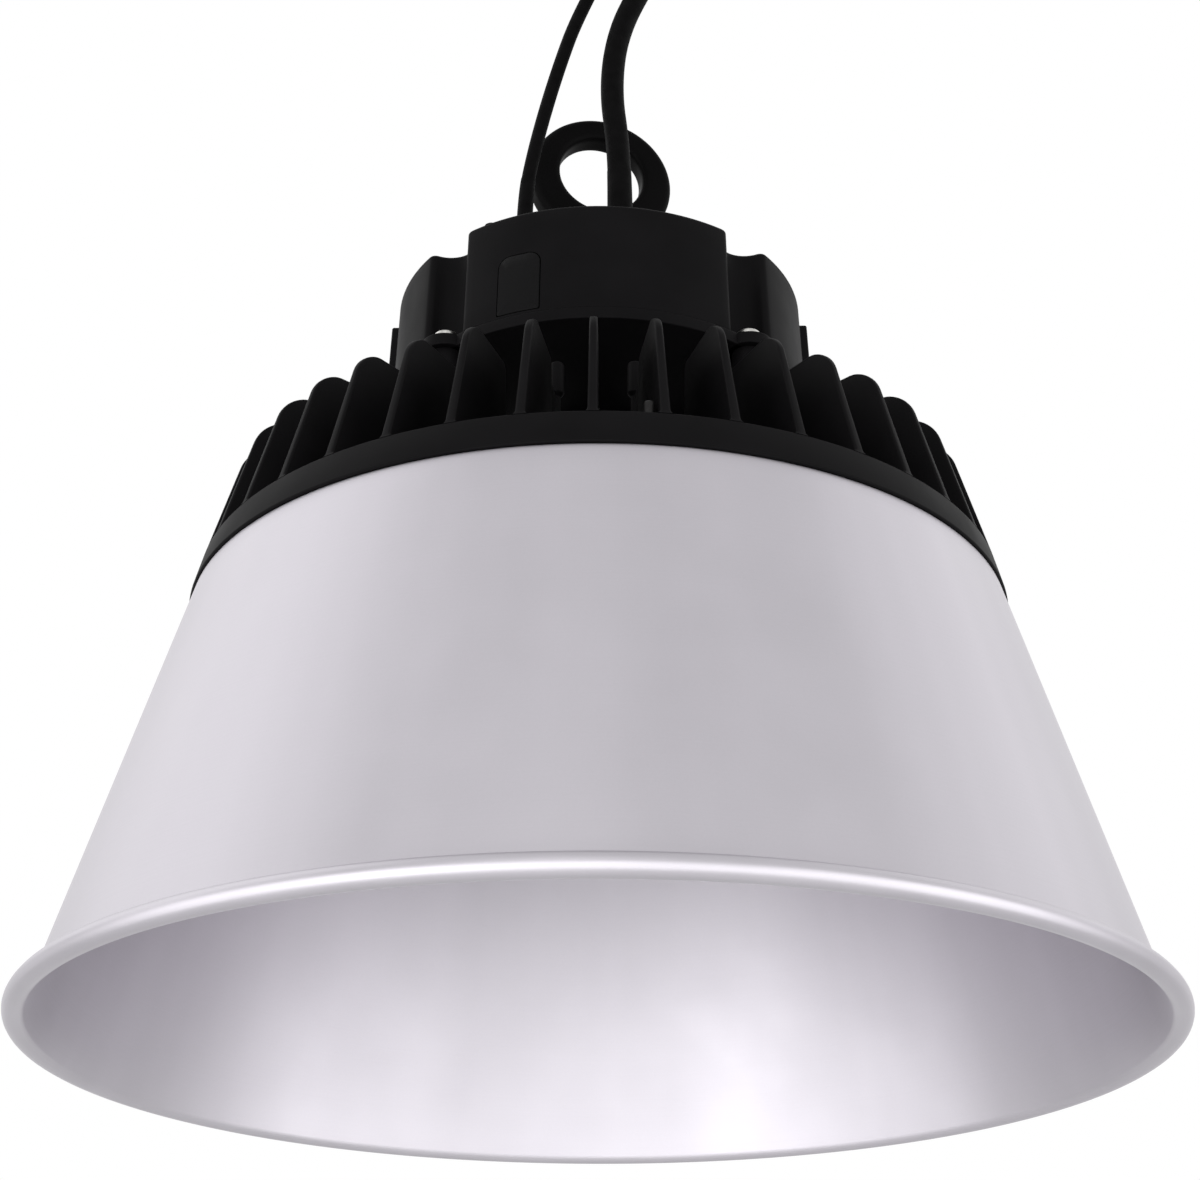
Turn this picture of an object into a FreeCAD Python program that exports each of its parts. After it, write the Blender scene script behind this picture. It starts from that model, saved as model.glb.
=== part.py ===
"""High bay light: an LED heat sink under a round driver, with a bell reflector and a hanging eye.

The light hangs from its eye with the reflector's mouth down. The origin is the centre of the
mouth, on the plane that the rolled rim ends in, +Z points up and -Y is the front. Lengths are
millimetres. An azimuth is counted from the front, towards +X.
"""

import FreeCAD
import Part
import math
import os
import Sketcher

Vector = FreeCAD.Vector
Rotation = FreeCAD.Rotation
Placement = FreeCAD.Placement

doc = FreeCAD.newDocument("high_bay_light")
sheet = doc.addObject("Spreadsheet::Sheet", "Sizes")


class Size:
    """A dimension: its value, and the formula that ties it to the sheet."""

    def __init__(self, value, text):
        self.value = value
        self.text = text

    def __add__(self, other):
        other = as_size(other)
        return Size(self.value + other.value, f"({self.text} + {other.text})")

    def __radd__(self, other):
        return as_size(other) + self

    def __sub__(self, other):
        other = as_size(other)
        return Size(self.value - other.value, f"({self.text} - {other.text})")

    def __rsub__(self, other):
        return as_size(other) - self

    def __mul__(self, other):
        other = as_size(other)
        return Size(self.value * other.value, f"({self.text} * {other.text})")

    def __rmul__(self, other):
        return as_size(other) * self

    def __truediv__(self, other):
        other = as_size(other)
        return Size(self.value / other.value, f"({self.text} / {other.text})")

    def __neg__(self):
        return Size(-self.value, f"(0 - {self.text})")


def as_size(thing):
    """Return a Size for a plain number, or the Size itself."""
    return thing if isinstance(thing, Size) else Size(float(thing), repr(thing))


def cosine(angle):
    """The cosine of an angle in degrees."""
    return Size(math.cos(math.radians(angle.value)), f"cos({angle.text})")


def sine(angle):
    """The sine of an angle in degrees."""
    return Size(math.sin(math.radians(angle.value)), f"sin({angle.text})")


def tangent(angle):
    """The tangent of an angle in degrees."""
    return Size(math.tan(math.radians(angle.value)), f"tan({angle.text})")


def root(square):
    """The square root."""
    return Size(math.sqrt(square.value), f"sqrt({square.text})")


def arc_tangent(ratio):
    """The angle in degrees that has this tangent."""
    return Size(math.degrees(math.atan(ratio.value)), f"(atan({ratio.text}) / 1 deg)")


def arc_sine(ratio):
    """The angle in degrees that has this sine."""
    return Size(math.degrees(math.asin(ratio.value)), f"(asin({ratio.text}) / 1 deg)")


rows = []


def size(alias, value):
    """Write a driving dimension into the sheet and return it."""
    rows.append(alias)
    sheet.set(f"A{len(rows)}", alias)
    sheet.set(f"B{len(rows)}", str(value))
    sheet.setAlias(f"B{len(rows)}", alias)
    return Size(float(value), f"Sizes.{alias}")


def spot(name, inset, azimuth):
    """Where a component stands on the circuit board, from its inset from the edge."""
    reach = circuit_radius - size(f"{name}_inset", inset)
    direction = size(f"{name}_azimuth", azimuth)
    return reach * cosine(direction), reach * sine(direction)


# ---------------------------------------------------------------- driving dimensions

# the reflector, a spun bell with a rolled rim and an inward flange at its top
rim_radius = size("rim_radius", 205)
bead_radius = size("bead_radius", 3.8)
reflector_sheet = size("reflector_sheet", 1.2)
reflector_height = size("reflector_height", 160.5)
reflector_top_radius = size("reflector_top_radius", 154.6)
reflector_flange = size("reflector_flange", 13.6)
shoulder_round = size("shoulder_round", 0.8)
curl_end = size("curl_end", 140)

# the heat sink, one casting: a deck, a band round it, fins and the posts of the driver
band_overhang = size("band_overhang", 1.2)
band_height = size("band_height", 13.2)
band_lean = size("band_lean", 3.3)
band_edge_round = size("band_edge_round", 0.8)
recess_depth = size("recess_depth", 5.5)
wire_hole_radius = size("wire_hole_radius", 7)
hub_radius = size("hub_radius", 30)
hub_height = size("hub_height", 6.3)
hub_edge_round = size("hub_edge_round", 1.5)
fin_count = size("fin_count", 40)
fin_height = size("fin_height", 48.8)
fin_thickness = size("fin_thickness", 3.6)
fin_draft = size("fin_draft", 0.55)
fin_lean = size("fin_lean", 15.5)
fin_crown_round = size("fin_crown_round", 14)
fin_inner_radius = size("fin_inner_radius", 106)
fin_inner_round = size("fin_inner_round", 3.5)
fin_knee_height = size("fin_knee_height", 24)
fin_root_reach = size("fin_root_reach", 14)
fin_root_radius = fin_inner_radius - fin_root_reach
post_radius = size("post_radius", 6.5)
post_draft = size("post_draft", 0.4)
stub_inset = size("stub_inset", 16)
stub_circle = fin_inner_radius - stub_inset
stub_azimuth = size("stub_azimuth", 9)
stub_head_radius = size("stub_head_radius", 2.7)
stub_head_height = size("stub_head_height", 14)
stub_stem_radius = size("stub_stem_radius", 1.5)
stub_height = size("stub_height", 56.3)
stub_web = size("stub_web", 2)
stub_web_height = size("stub_web_height", 40)

# the light engine under the deck, inside the reflector's flange
lens_ring_room = size("lens_ring_room", 2)
lens_ring_wall = size("lens_ring_wall", 9)
lens_ring_cover = size("lens_ring_cover", 9)
lens_ring_lip = size("lens_ring_lip", 2.5)
lens_ring_outer = reflector_top_radius - reflector_flange - lens_ring_room
lens_radius = lens_ring_outer - lens_ring_wall
lens_ring_inner = lens_radius - lens_ring_cover
lens_ring_screw_inset = size("lens_ring_screw_inset", 4)
lens_ring_screw_circle = lens_ring_outer - lens_ring_screw_inset
lens_ring_screws = size("lens_ring_screws", 10)
lens_ring_thread = size("lens_ring_thread", 8)
lens_thickness = size("lens_thickness", 3)
lens_gap = size("lens_gap", 0.2)
lens_field_inset = size("lens_field_inset", 9)
lens_field_radius = lens_ring_inner - lens_field_inset
lens_field_step = size("lens_field_step", 1.2)
gasket_inset = size("gasket_inset", 6.5)
gasket_inner = lens_radius - gasket_inset
gasket_width = size("gasket_width", 4)
gasket_depth = size("gasket_depth", 2)
recess_land = size("recess_land", 1.5)
recess_radius = gasket_inner - recess_land
board_room = size("board_room", 4)
board_radius = recess_radius - board_room
board_thickness = size("board_thickness", 1.6)
thermal_pad_thickness = size("thermal_pad_thickness", 0.5)
board_screw_inset = size("board_screw_inset", 7)
board_screw_circle = board_radius - board_screw_inset
board_screws = size("board_screws", 6)
board_thread = size("board_thread", 5)
chip_width = size("chip_width", 3)
chip_height = size("chip_height", 0.8)
chip_ring_pitch = size("chip_ring_pitch", 20)
reflector_screw_inset = size("reflector_screw_inset", 7.6)
reflector_screw_circle = reflector_top_radius - reflector_screw_inset
reflector_screws = size("reflector_screws", 5)
reflector_screw_azimuth = size("reflector_screw_azimuth", -10.8)
reflector_screw_length = size("reflector_screw_length", 21)

# the driver: a base with four lugs and a round housing with a scallop over each lug
air_gap = size("air_gap", 30.5)
base_radius = size("base_radius", 84)
base_thickness = size("base_thickness", 5)
lug_inset = size("lug_inset", 2.5)
lug_circle = base_radius - lug_inset
lug_radius = size("lug_radius", 9)
lug_count = size("lug_count", 4)
lug_azimuth = size("lug_azimuth", 45)
housing_step = size("housing_step", 0.5)
housing_height = size("housing_height", 47)
housing_draft = size("housing_draft", 1.5)
housing_round = size("housing_round", 1.8)
housing_roof = size("housing_roof", 4)
scallop_room = size("scallop_room", 0.7)
scallop_lip_round = size("scallop_lip_round", 2.5)
scallop_radius = lug_radius + scallop_room
cavity_inset = size("cavity_inset", 17)
cavity_radius = base_radius - cavity_inset
cavity_wall = size("cavity_wall", 5.6)
coring_inner = cavity_radius + cavity_wall
case_wall = size("case_wall", 5)
coring_outer = base_radius - case_wall
coring_half_angle = size("coring_half_angle", 33)
rib_reach = size("rib_reach", 3.2)
rib_width = size("rib_width", 6)
rib_drop = size("rib_drop", 4)
boss_radius = size("boss_radius", 19)
boss_depth = size("boss_depth", 9)
cover_azimuth = size("cover_azimuth", -20.7)
cover_width = size("cover_width", 17.6)
cover_height = size("cover_height", 26.4)
cover_lift = size("cover_lift", 1.3)
cover_round = size("cover_round", 5)
cover_recess_depth = size("cover_recess_depth", 2.6)
cover_floor = base_radius - housing_step - cover_recess_depth
cover_proud = size("cover_proud", 0.35)
cover_gap = size("cover_gap", 0.3)
driver_gasket_inset = size("driver_gasket_inset", 1)
driver_gasket_inner = cavity_radius + driver_gasket_inset
driver_gasket_width = size("driver_gasket_width", 2)
driver_gasket_depth = size("driver_gasket_depth", 0.9)
vent_side = size("vent_side", 34)
vent_thread = size("vent_thread", 4)
vent_cap_radius = size("vent_cap_radius", 7)
vent_cap_height = size("vent_cap_height", 4.5)

# the stem that carries the wires from the driver to the light engine
stem_radius = size("stem_radius", 11)
stem_flange_reach = size("stem_flange_reach", 6)
stem_flange_radius = stem_radius + stem_flange_reach
stem_flange = size("stem_flange", 3)
stem_seal_width = size("stem_seal_width", 2)
stem_seal_depth = size("stem_seal_depth", 1)
wire_radius = size("wire_radius", 1.4)
wire_spread = size("wire_spread", 3)

# the hanging eye and its nuts
eye_radius = size("eye_radius", 30.5)
eye_hole_radius = size("eye_hole_radius", 18)
eye_hole_offset = size("eye_hole_offset", 2.3)
eye_depth = size("eye_depth", 11)
eye_round = size("eye_round", 3)
eye_rise = size("eye_rise", 71)
eye_yaw = size("eye_yaw", 14)
shank_radius = size("shank_radius", 8)
neck_radius = size("neck_radius", 8.5)
collar_radius = size("collar_radius", 14)
collar_height = size("collar_height", 7)
neck_height = size("neck_height", 16)
shank_spare = size("shank_spare", 2)
nut_flats = size("nut_flats", 24)
nut_height = size("nut_height", 10)
washer_radius = size("washer_radius", 16)
washer_height = size("washer_height", 2.5)

# the leads and their glands, on a plate on the roof
lead_depth = size("lead_depth", 52)
power_side = size("power_side", 8.9)
power_cable_radius = size("power_cable_radius", 4.7)
power_gland_flats = size("power_gland_flats", 20)
dimming_side = size("dimming_side", -28.9)
dimming_cable_radius = size("dimming_cable_radius", 2.8)
dimming_gland_flats = size("dimming_gland_flats", 15)
gland_hex_height = size("gland_hex_height", 3)
gland_dome_height = size("gland_dome_height", 8)
gland_wall = size("gland_wall", 2.2)
gland_nut_wall = size("gland_nut_wall", 2.2)
gland_thread_rise = size("gland_thread_rise", 4)
gland_lip = size("gland_lip", 2)
gland_shank = size("gland_shank", 11)
plate_thickness = size("plate_thickness", 2)
plate_width = size("plate_width", 70)
plate_length = size("plate_length", 28)
plate_centre = size("plate_centre", -10)
plate_corner = size("plate_corner", 6)
plate_screw_inset = size("plate_screw_inset", 4)
power_connector_length = size("power_connector_length", 40)
power_connector_radius = size("power_connector_radius", 10.5)
dimming_connector_length = size("dimming_connector_length", 32)
dimming_connector_radius = size("dimming_connector_radius", 7)
connector_sleeve_share = size("connector_sleeve_share", 0.25)
connector_grip_share = size("connector_grip_share", 0.5)
connector_body_share = size("connector_body_share", 0.86)

# the electronics
circuit_room = size("circuit_room", 5)
circuit_radius = cavity_radius - circuit_room
circuit_thickness = size("circuit_thickness", 1.6)
standoff_height = size("standoff_height", 6)
standoff_radius = size("standoff_radius", 3.6)
standoff_inset = size("standoff_inset", 8)
standoff_circle = circuit_radius - standoff_inset
transformer_width = size("transformer_width", 36)
transformer_depth = size("transformer_depth", 30)
transformer_height = size("transformer_height", 26)
choke_radius = size("choke_radius", 14)
choke_hole_radius = size("choke_hole_radius", 7)
choke_height = size("choke_height", 13)
capacitor_radius = size("capacitor_radius", 8)
capacitor_height = size("capacitor_height", 27)
spreader_width = size("spreader_width", 52)
spreader_height = size("spreader_height", 24)
spreader_thickness = size("spreader_thickness", 4)
transistor_width = size("transistor_width", 14)
transistor_depth = size("transistor_depth", 5)
transistor_height = size("transistor_height", 19)
transistor_gap = size("transistor_gap", 3)
transistor_pitch = transistor_width + transistor_gap
terminal_width = size("terminal_width", 30)
terminal_height = size("terminal_height", 12)
filter_width = size("filter_width", 18)
filter_depth = size("filter_depth", 12)
filter_height = size("filter_height", 15)
transformer_spot = spot("transformer", 25.3, 150.6)
choke_spot = spot("choke", 24.2, 39)
capacitor_spots = (
    spot("first_capacitor", 21.3, 199.5),
    spot("second_capacitor", 17.3, 227.2),
    spot("third_capacitor", 17.9, 254.2),
)
spreader_inset = size("spreader_inset", 16)
spreader_along = circuit_radius - spreader_inset
terminal_spot = spot("terminal", 14.1, 293.4)
filter_spot = spot("filter", 18.9, 338.2)

# the chips stand in rings on the board, this many in each, from the middle out
chips_in_ring = (6, 12, 18, 24, 30)

# clearances
slip = size("slip", 0.1)
seat_gap = size("seat_gap", 0.2)
edge_gap = size("edge_gap", 0.6)

# screws: half of the thread's diameter, the head and its drive
small_thread = size("small_thread", 1.5)
middle_thread = size("middle_thread", 2)
large_thread = size("large_thread", 2.5)
head_factor = size("head_factor", 1.85)
head_height_factor = size("head_height_factor", 1.3)
drive_factor = size("drive_factor", 0.75)
lug_washer_height = size("lug_washer_height", 1)
thread_depth = size("thread_depth", 14)

doc.recompute()

# ---------------------------------------------------------------- levels and shared radii

seat_level = reflector_height
deck_level = seat_level + band_height
recess_level = seat_level + recess_depth
hub_level = deck_level + hub_height
fin_level = deck_level + fin_height
base_level = fin_level + air_gap
housing_level = base_level + base_thickness
roof_level = housing_level + housing_height
ceiling_level = roof_level - housing_roof
plate_level = roof_level + plate_thickness
gland_level = plate_level + gland_hex_height + gland_dome_height
band_radius = reflector_top_radius + band_overhang
fin_foot_radius = band_radius - band_lean
housing_radius = base_radius - housing_step
eye_level = roof_level + eye_rise


def housing_radius_at(level):
    """The housing's outer radius at a level: it narrows upwards by its draft."""
    return housing_radius - housing_draft * (level - housing_level) / housing_height


# ---------------------------------------------------------------- how a piece is made

parts = []


def new_body(label):
    """Start a sub-part."""
    body = doc.addObject("PartDesign::Body", label)
    body.Label = label
    body.AllowCompound = True
    parts.append(body)
    return body


def origin_feature(body, role):
    """One of the body's own origin planes or axes."""
    return next(feature for feature in body.Origin.OriginFeatures if feature.Role == role)


def set_size(thing, path, value):
    """Bind a property or a constraint to the sheet."""
    thing.setExpression(path, as_size(value).text)


def new_sketch(body, name, plane="XZ_Plane", lift=0, turn=0):
    """Start a sketch on a plane of the body, lifted along its normal and turned about it."""
    sketch = body.newObject("Sketcher::SketchObject", name)
    sketch.AttachmentSupport = [(origin_feature(body, plane), "")]
    sketch.MapMode = "FlatFace"
    lift, turn = as_size(lift), as_size(turn)
    turned = Rotation(Vector(0, 0, 1), turn.value)
    sketch.AttachmentOffset = Placement(Vector(0, 0, lift.value), turned)
    set_size(sketch, "AttachmentOffset.Base.z", lift)
    if turn.value:
        set_size(sketch, "AttachmentOffset.Rotation.Angle", turn)
    return sketch


def facing_sketch(body, name, azimuth, distance=0):
    """Start an upright sketch that looks outwards at an azimuth, at a distance from the axis."""
    sketch = body.newObject("Sketcher::SketchObject", name)
    sketch.AttachmentSupport = [(origin_feature(body, "XZ_Plane"), "")]
    sketch.MapMode = "FlatFace"
    azimuth, distance = as_size(azimuth), as_size(distance)
    side, out = distance * sine(azimuth), distance * cosine(azimuth)
    turned = Rotation(Vector(0, 1, 0), azimuth.value)
    sketch.AttachmentOffset = Placement(Vector(side.value, 0, out.value), turned)
    set_size(sketch, "AttachmentOffset.Base.x", side)
    set_size(sketch, "AttachmentOffset.Base.z", out)
    set_size(sketch, "AttachmentOffset.Rotation.Angle", azimuth)
    return sketch


ORIGIN, START, END, CENTRE = (-1, 1), 1, 2, 3


def pin_point(sketch, item, end, across, up):
    """Hold one point of the sketch at a distance from its origin each way."""
    for kind, value, axis in (("DistanceX", across, -2), ("DistanceY", up, -1)):
        if isinstance(value, Size):
            number = sketch.addConstraint(
                Sketcher.Constraint(kind, *ORIGIN, item, end, value.value)
            )
            set_size(sketch, f"Constraints[{number}]", value)
        else:
            sketch.addConstraint(Sketcher.Constraint("PointOnObject", item, end, axis))


def bind_radius(sketch, item, radius):
    """Hold the radius of a circle or an arc."""
    radius = as_size(radius)
    number = sketch.addConstraint(Sketcher.Constraint("Radius", item, radius.value))
    set_size(sketch, f"Constraints[{number}]", radius)


def circle(sketch, across, up, radius):
    """Draw a circle about a point. A coordinate of 0 lies on the axis."""
    centre = Vector(as_size(across).value, as_size(up).value, 0)
    item = sketch.addGeometry(Part.Circle(centre, Vector(0, 0, 1), as_size(radius).value), False)
    pin_point(sketch, item, CENTRE, across, up)
    bind_radius(sketch, item, radius)


def rounding(before, corner, after, radius):
    """The two tangent points and the middle of an arc that rounds a corner."""
    to_before = (before - corner).normalize()
    to_after = (after - corner).normalize()
    half = to_before.getAngle(to_after) / 2
    reach = radius / math.tan(half)
    bisector = (to_before + to_after).normalize()
    centre = corner + bisector * (radius / math.sin(half))
    return corner + to_before * reach, corner + to_after * reach, centre - bisector * radius


def outline(sketch, corners):
    """Draw a closed outline of straight sides.

    A corner is (across, up), or (across, up, radius) where it is rounded.
    """
    spots = [Vector(as_size(c[0]).value, as_size(c[1]).value, 0) for c in corners]
    count = len(corners)
    ends = []
    for k, corner in enumerate(corners):
        radius = as_size(corner[2]).value if len(corner) > 2 else 0
        if radius:
            ends.append(rounding(spots[k - 1], spots[k], spots[(k + 1) % count], radius))
        else:
            ends.append((spots[k], spots[k], None))
    sides = [
        sketch.addGeometry(Part.LineSegment(ends[k][1], ends[(k + 1) % count][0]), False)
        for k in range(count)
    ]
    for k, corner in enumerate(corners):
        before, after = sides[k - 1], sides[k]
        arrive, leave, middle = ends[k]
        if middle is None:
            sketch.addConstraint(Sketcher.Constraint("Coincident", before, END, after, START))
            pin_point(sketch, after, START, corner[0], corner[1])
            continue
        arc = sketch.addGeometry(Part.Arc(arrive, middle, leave), False)
        turns_left = (arrive - middle).cross(leave - middle).z < 0
        first, last = (START, END) if turns_left else (END, START)
        sketch.addConstraint(Sketcher.Constraint("Tangent", before, END, arc, first))
        sketch.addConstraint(Sketcher.Constraint("Tangent", arc, last, after, START))
        bind_radius(sketch, arc, corner[2])
        point = sketch.addGeometry(Part.Point(spots[k]), True)
        pin_point(sketch, point, START, corner[0], corner[1])
        sketch.addConstraint(Sketcher.Constraint("PointOnObject", point, START, before))
        sketch.addConstraint(Sketcher.Constraint("PointOnObject", point, START, after))


def box_outline(sketch, left, right, low, high, radius=None):
    """Draw a rectangle, with rounded corners if a radius is given."""
    rest = () if radius is None else (radius,)
    outline(
        sketch,
        [(left, low, *rest), (right, low, *rest), (right, high, *rest), (left, high, *rest)],
    )


def hexagon(sketch, across, up, flats):
    """Draw a hexagon about a point, with its flats to the sides."""
    half = flats / 2
    corner = flats * tangent(Size(30, "30")) / 2
    point = flats / (2 * cosine(Size(30, "30")))
    outline(
        sketch,
        [
            (across + half, up + corner),
            (across + 0 * half, up + point),
            (across - half, up + corner),
            (across - half, up - corner),
            (across + 0 * half, up - point),
            (across + half, up - corner),
        ],
    )


def revolve(body, sketch, kind="Revolution", axis="V_Axis"):
    """Turn a sketch all the way round an axis of its own."""
    feature = body.newObject(f"PartDesign::{kind}", f"{sketch.Name}_turned")
    feature.Profile = (sketch, [""])
    feature.ReferenceAxis = (sketch, [axis])
    feature.Angle = 360
    sketch.Visibility = False
    return feature


def extrude(body, sketch, length, kind="Pad", both=False, against=False, taper=None):
    """Pad or pocket a sketch. A pocket goes against the sketch's normal unless told not to."""
    feature = body.newObject(f"PartDesign::{kind}", f"{sketch.Name}_{kind.lower()}")
    feature.Profile = (sketch, [""])
    feature.SideType = "Symmetric" if both else "One side"
    feature.Reversed = against
    feature.Length = as_size(length).value
    set_size(feature, "Length", length)
    if taper is not None:
        feature.TaperAngle = as_size(taper).value
        set_size(feature, "TaperAngle", taper)
    sketch.Visibility = False
    return feature


def repeat_round(body, features, count):
    """Repeat features all round the upright axis."""
    pattern = body.newObject("PartDesign::PolarPattern", f"{features[0].Name}_all_round")
    pattern.Originals = features
    pattern.Axis = (origin_feature(body, "Z_Axis"), [""])
    pattern.Angle = 360
    pattern.Occurrences = int(as_size(count).value)
    set_size(pattern, "Occurrences", count)
    body.Tip = pattern
    return pattern


def round_edges(body, radius, wanted):
    """Fillet the edges of the body's last feature that a test picks."""
    doc.recompute()
    base = body.Tip
    names = [
        f"Edge{number}"
        for number, edge in enumerate(base.Shape.Edges, start=1)
        if wanted(edge)
    ]
    fillet = body.newObject("PartDesign::Fillet", f"{base.Name}_rounded")
    fillet.Base = (base, names)
    fillet.Radius = as_size(radius).value
    set_size(fillet, "Radius", radius)
    body.Tip = fillet
    return fillet


def turned_piece(label, corners):
    """A sub-part turned round the upright axis from one outline."""
    body = new_body(label)
    sketch = new_sketch(body, f"{label}_section")
    outline(sketch, corners)
    revolve(body, sketch)
    return body


def turned_ring(label, inner, outer, low, high):
    """A flat ring, or a disc with a hole."""
    return turned_piece(label, [(inner, low), (outer, low), (outer, high), (inner, high)])


def place(body, across=0, along=0, up=0):
    """Move a sub-part from its own origin to where it stands."""
    spot = [as_size(value) for value in (across, along, up)]
    body.Placement = Placement(Vector(*(value.value for value in spot)), Rotation())
    for name, value in zip("xyz", spot):
        set_size(body, f"Placement.Base.{name}", value)


def drill(body, name, circle_radius, hole_radius, from_level, depth, count, azimuth=0):
    """Drill a ring of holes downwards from a level. The first is at an azimuth."""
    turn = as_size(azimuth) - 90
    sketch = new_sketch(body, name, "XY_Plane", from_level, turn)
    circle(sketch, circle_radius, 0, hole_radius)
    hole = extrude(body, sketch, depth, "Pocket")
    return repeat_round(body, [hole], count)


def screw_corners(axis_at, thread, seat, length, up=1):
    """Half the outline of a pan-head screw whose head rests on a seat, and its axis.

    The head is above the seat and the shank below it, or the other way round if up is -1.
    """
    head = thread * head_factor
    crown = thread * head_height_factor
    return [
        (axis_at, seat - up * length),
        (axis_at + thread, seat - up * length),
        (axis_at + thread, seat),
        (axis_at + head, seat),
        (axis_at + head, seat + up * crown, thread * drive_factor),
        (axis_at, seat + up * crown),
    ]


def screw_ring(label, circle_radius, thread, seat, length, count, azimuth=0, up=1):
    """A ring of like screws, as separate solids of one node."""
    body = new_body(label)
    sketch = new_sketch(body, f"{label}_section")
    outline(sketch, screw_corners(circle_radius, thread, seat, length, up))
    axis = sketch.addGeometry(
        Part.LineSegment(
            Vector(circle_radius.value, 0, 0), Vector(circle_radius.value, seat.value, 0)
        ),
        True,
    )
    pin_point(sketch, axis, START, circle_radius, 0)
    pin_point(sketch, axis, END, circle_radius, seat)
    turned = revolve(body, sketch, axis="Axis0")
    repeat_round(body, [turned], count)
    azimuth = as_size(azimuth)
    body.Placement = Placement(Vector(), Rotation(Vector(0, 0, 1), azimuth.value - 90))
    set_size(body, "Placement.Rotation.Angle", azimuth - 90)
    return body


# ---------------------------------------------------------------- reflector


def make_reflector():
    """The spun bell: flange, cone and a rolled bead, of one sheet."""
    body = new_body("reflector")
    sketch = new_sketch(body, "bell_section")
    curl_across, curl_up = rim_radius - bead_radius, bead_radius
    hollow = bead_radius - reflector_sheet
    run = curl_across - reflector_top_radius
    rise = reflector_height - bead_radius
    lean = arc_tangent(run / rise) - arc_sine(hollow / root(run * run + rise * rise))
    flange_inner = reflector_top_radius - reflector_flange
    under = reflector_height - reflector_sheet
    inner_corner = (
        reflector_top_radius + reflector_sheet * tangent(lean) - reflector_sheet / cosine(lean)
    )

    def on_bead(radius, angle):
        return curl_across + radius * cosine(angle), curl_up + radius * sine(angle)

    wall_side = lean + 180
    spots = {
        "flange_top": (flange_inner, reflector_height),
        "shoulder": (reflector_top_radius, reflector_height),
        "wall_outside": on_bead(hollow, wall_side),
        "curl_inside": on_bead(hollow, curl_end),
        "curl_outside": on_bead(bead_radius, curl_end),
        "wall_inside": on_bead(bead_radius, wall_side),
        "inner_corner": (inner_corner, under),
        "flange_under": (flange_inner, under),
    }
    at = {name: Vector(x.value, y.value, 0) for name, (x, y) in spots.items()}
    centre = Vector(curl_across.value, curl_up.value, 0)

    def line(first, last):
        item = sketch.addGeometry(Part.LineSegment(at[first], at[last]), False)
        pin_point(sketch, item, START, *spots[first])
        return item

    def curl(first, last, radius):
        middle = centre - Vector(0, radius.value, 0)
        item = sketch.addGeometry(Part.Arc(at[first], middle, at[last]), False)
        bind_radius(sketch, item, radius)
        return item

    chain = [
        (line("flange_top", "shoulder"), START, END),
        (line("shoulder", "wall_outside"), START, END),
        (curl("wall_outside", "curl_inside", hollow), START, END),
        (line("curl_inside", "curl_outside"), START, END),
        (curl("wall_inside", "curl_outside", bead_radius), END, START),
        (line("wall_inside", "inner_corner"), START, END),
        (line("inner_corner", "flange_under"), START, END),
        (line("flange_under", "flange_top"), START, END),
    ]
    for (item, _, leave), (other, arrive, _) in zip(chain, chain[1:] + chain[:1]):
        sketch.addConstraint(Sketcher.Constraint("Coincident", item, leave, other, arrive))
    for item, end, name in ((chain[2][0], START, "wall_outside"), (chain[4][0], END, "curl_outside")):
        pin_point(sketch, item, end, *spots[name])
    revolve(body, sketch)
    body.Tip = body.Group[-1]
    doc.recompute()
    round_edges(
        body,
        shoulder_round,
        lambda edge: is_level_circle(edge, reflector_top_radius, reflector_height),
    )
    drill(
        body,
        "reflector_screw_holes",
        reflector_screw_circle,
        middle_thread + seat_gap,
        reflector_height + edge_gap,
        reflector_sheet + 2 * edge_gap,
        reflector_screws,
        reflector_screw_azimuth,
    )


def is_level_circle(edge, radius, level):
    """Whether an edge is a level circle of this radius about the upright axis."""
    curve = edge.Curve
    return (
        isinstance(curve, Part.Circle)
        and abs(curve.Radius - radius.value) < 1e-3
        and abs(curve.Center.z - level.value) < 1e-3
    )


make_reflector()


# ---------------------------------------------------------------- heat sink


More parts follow.
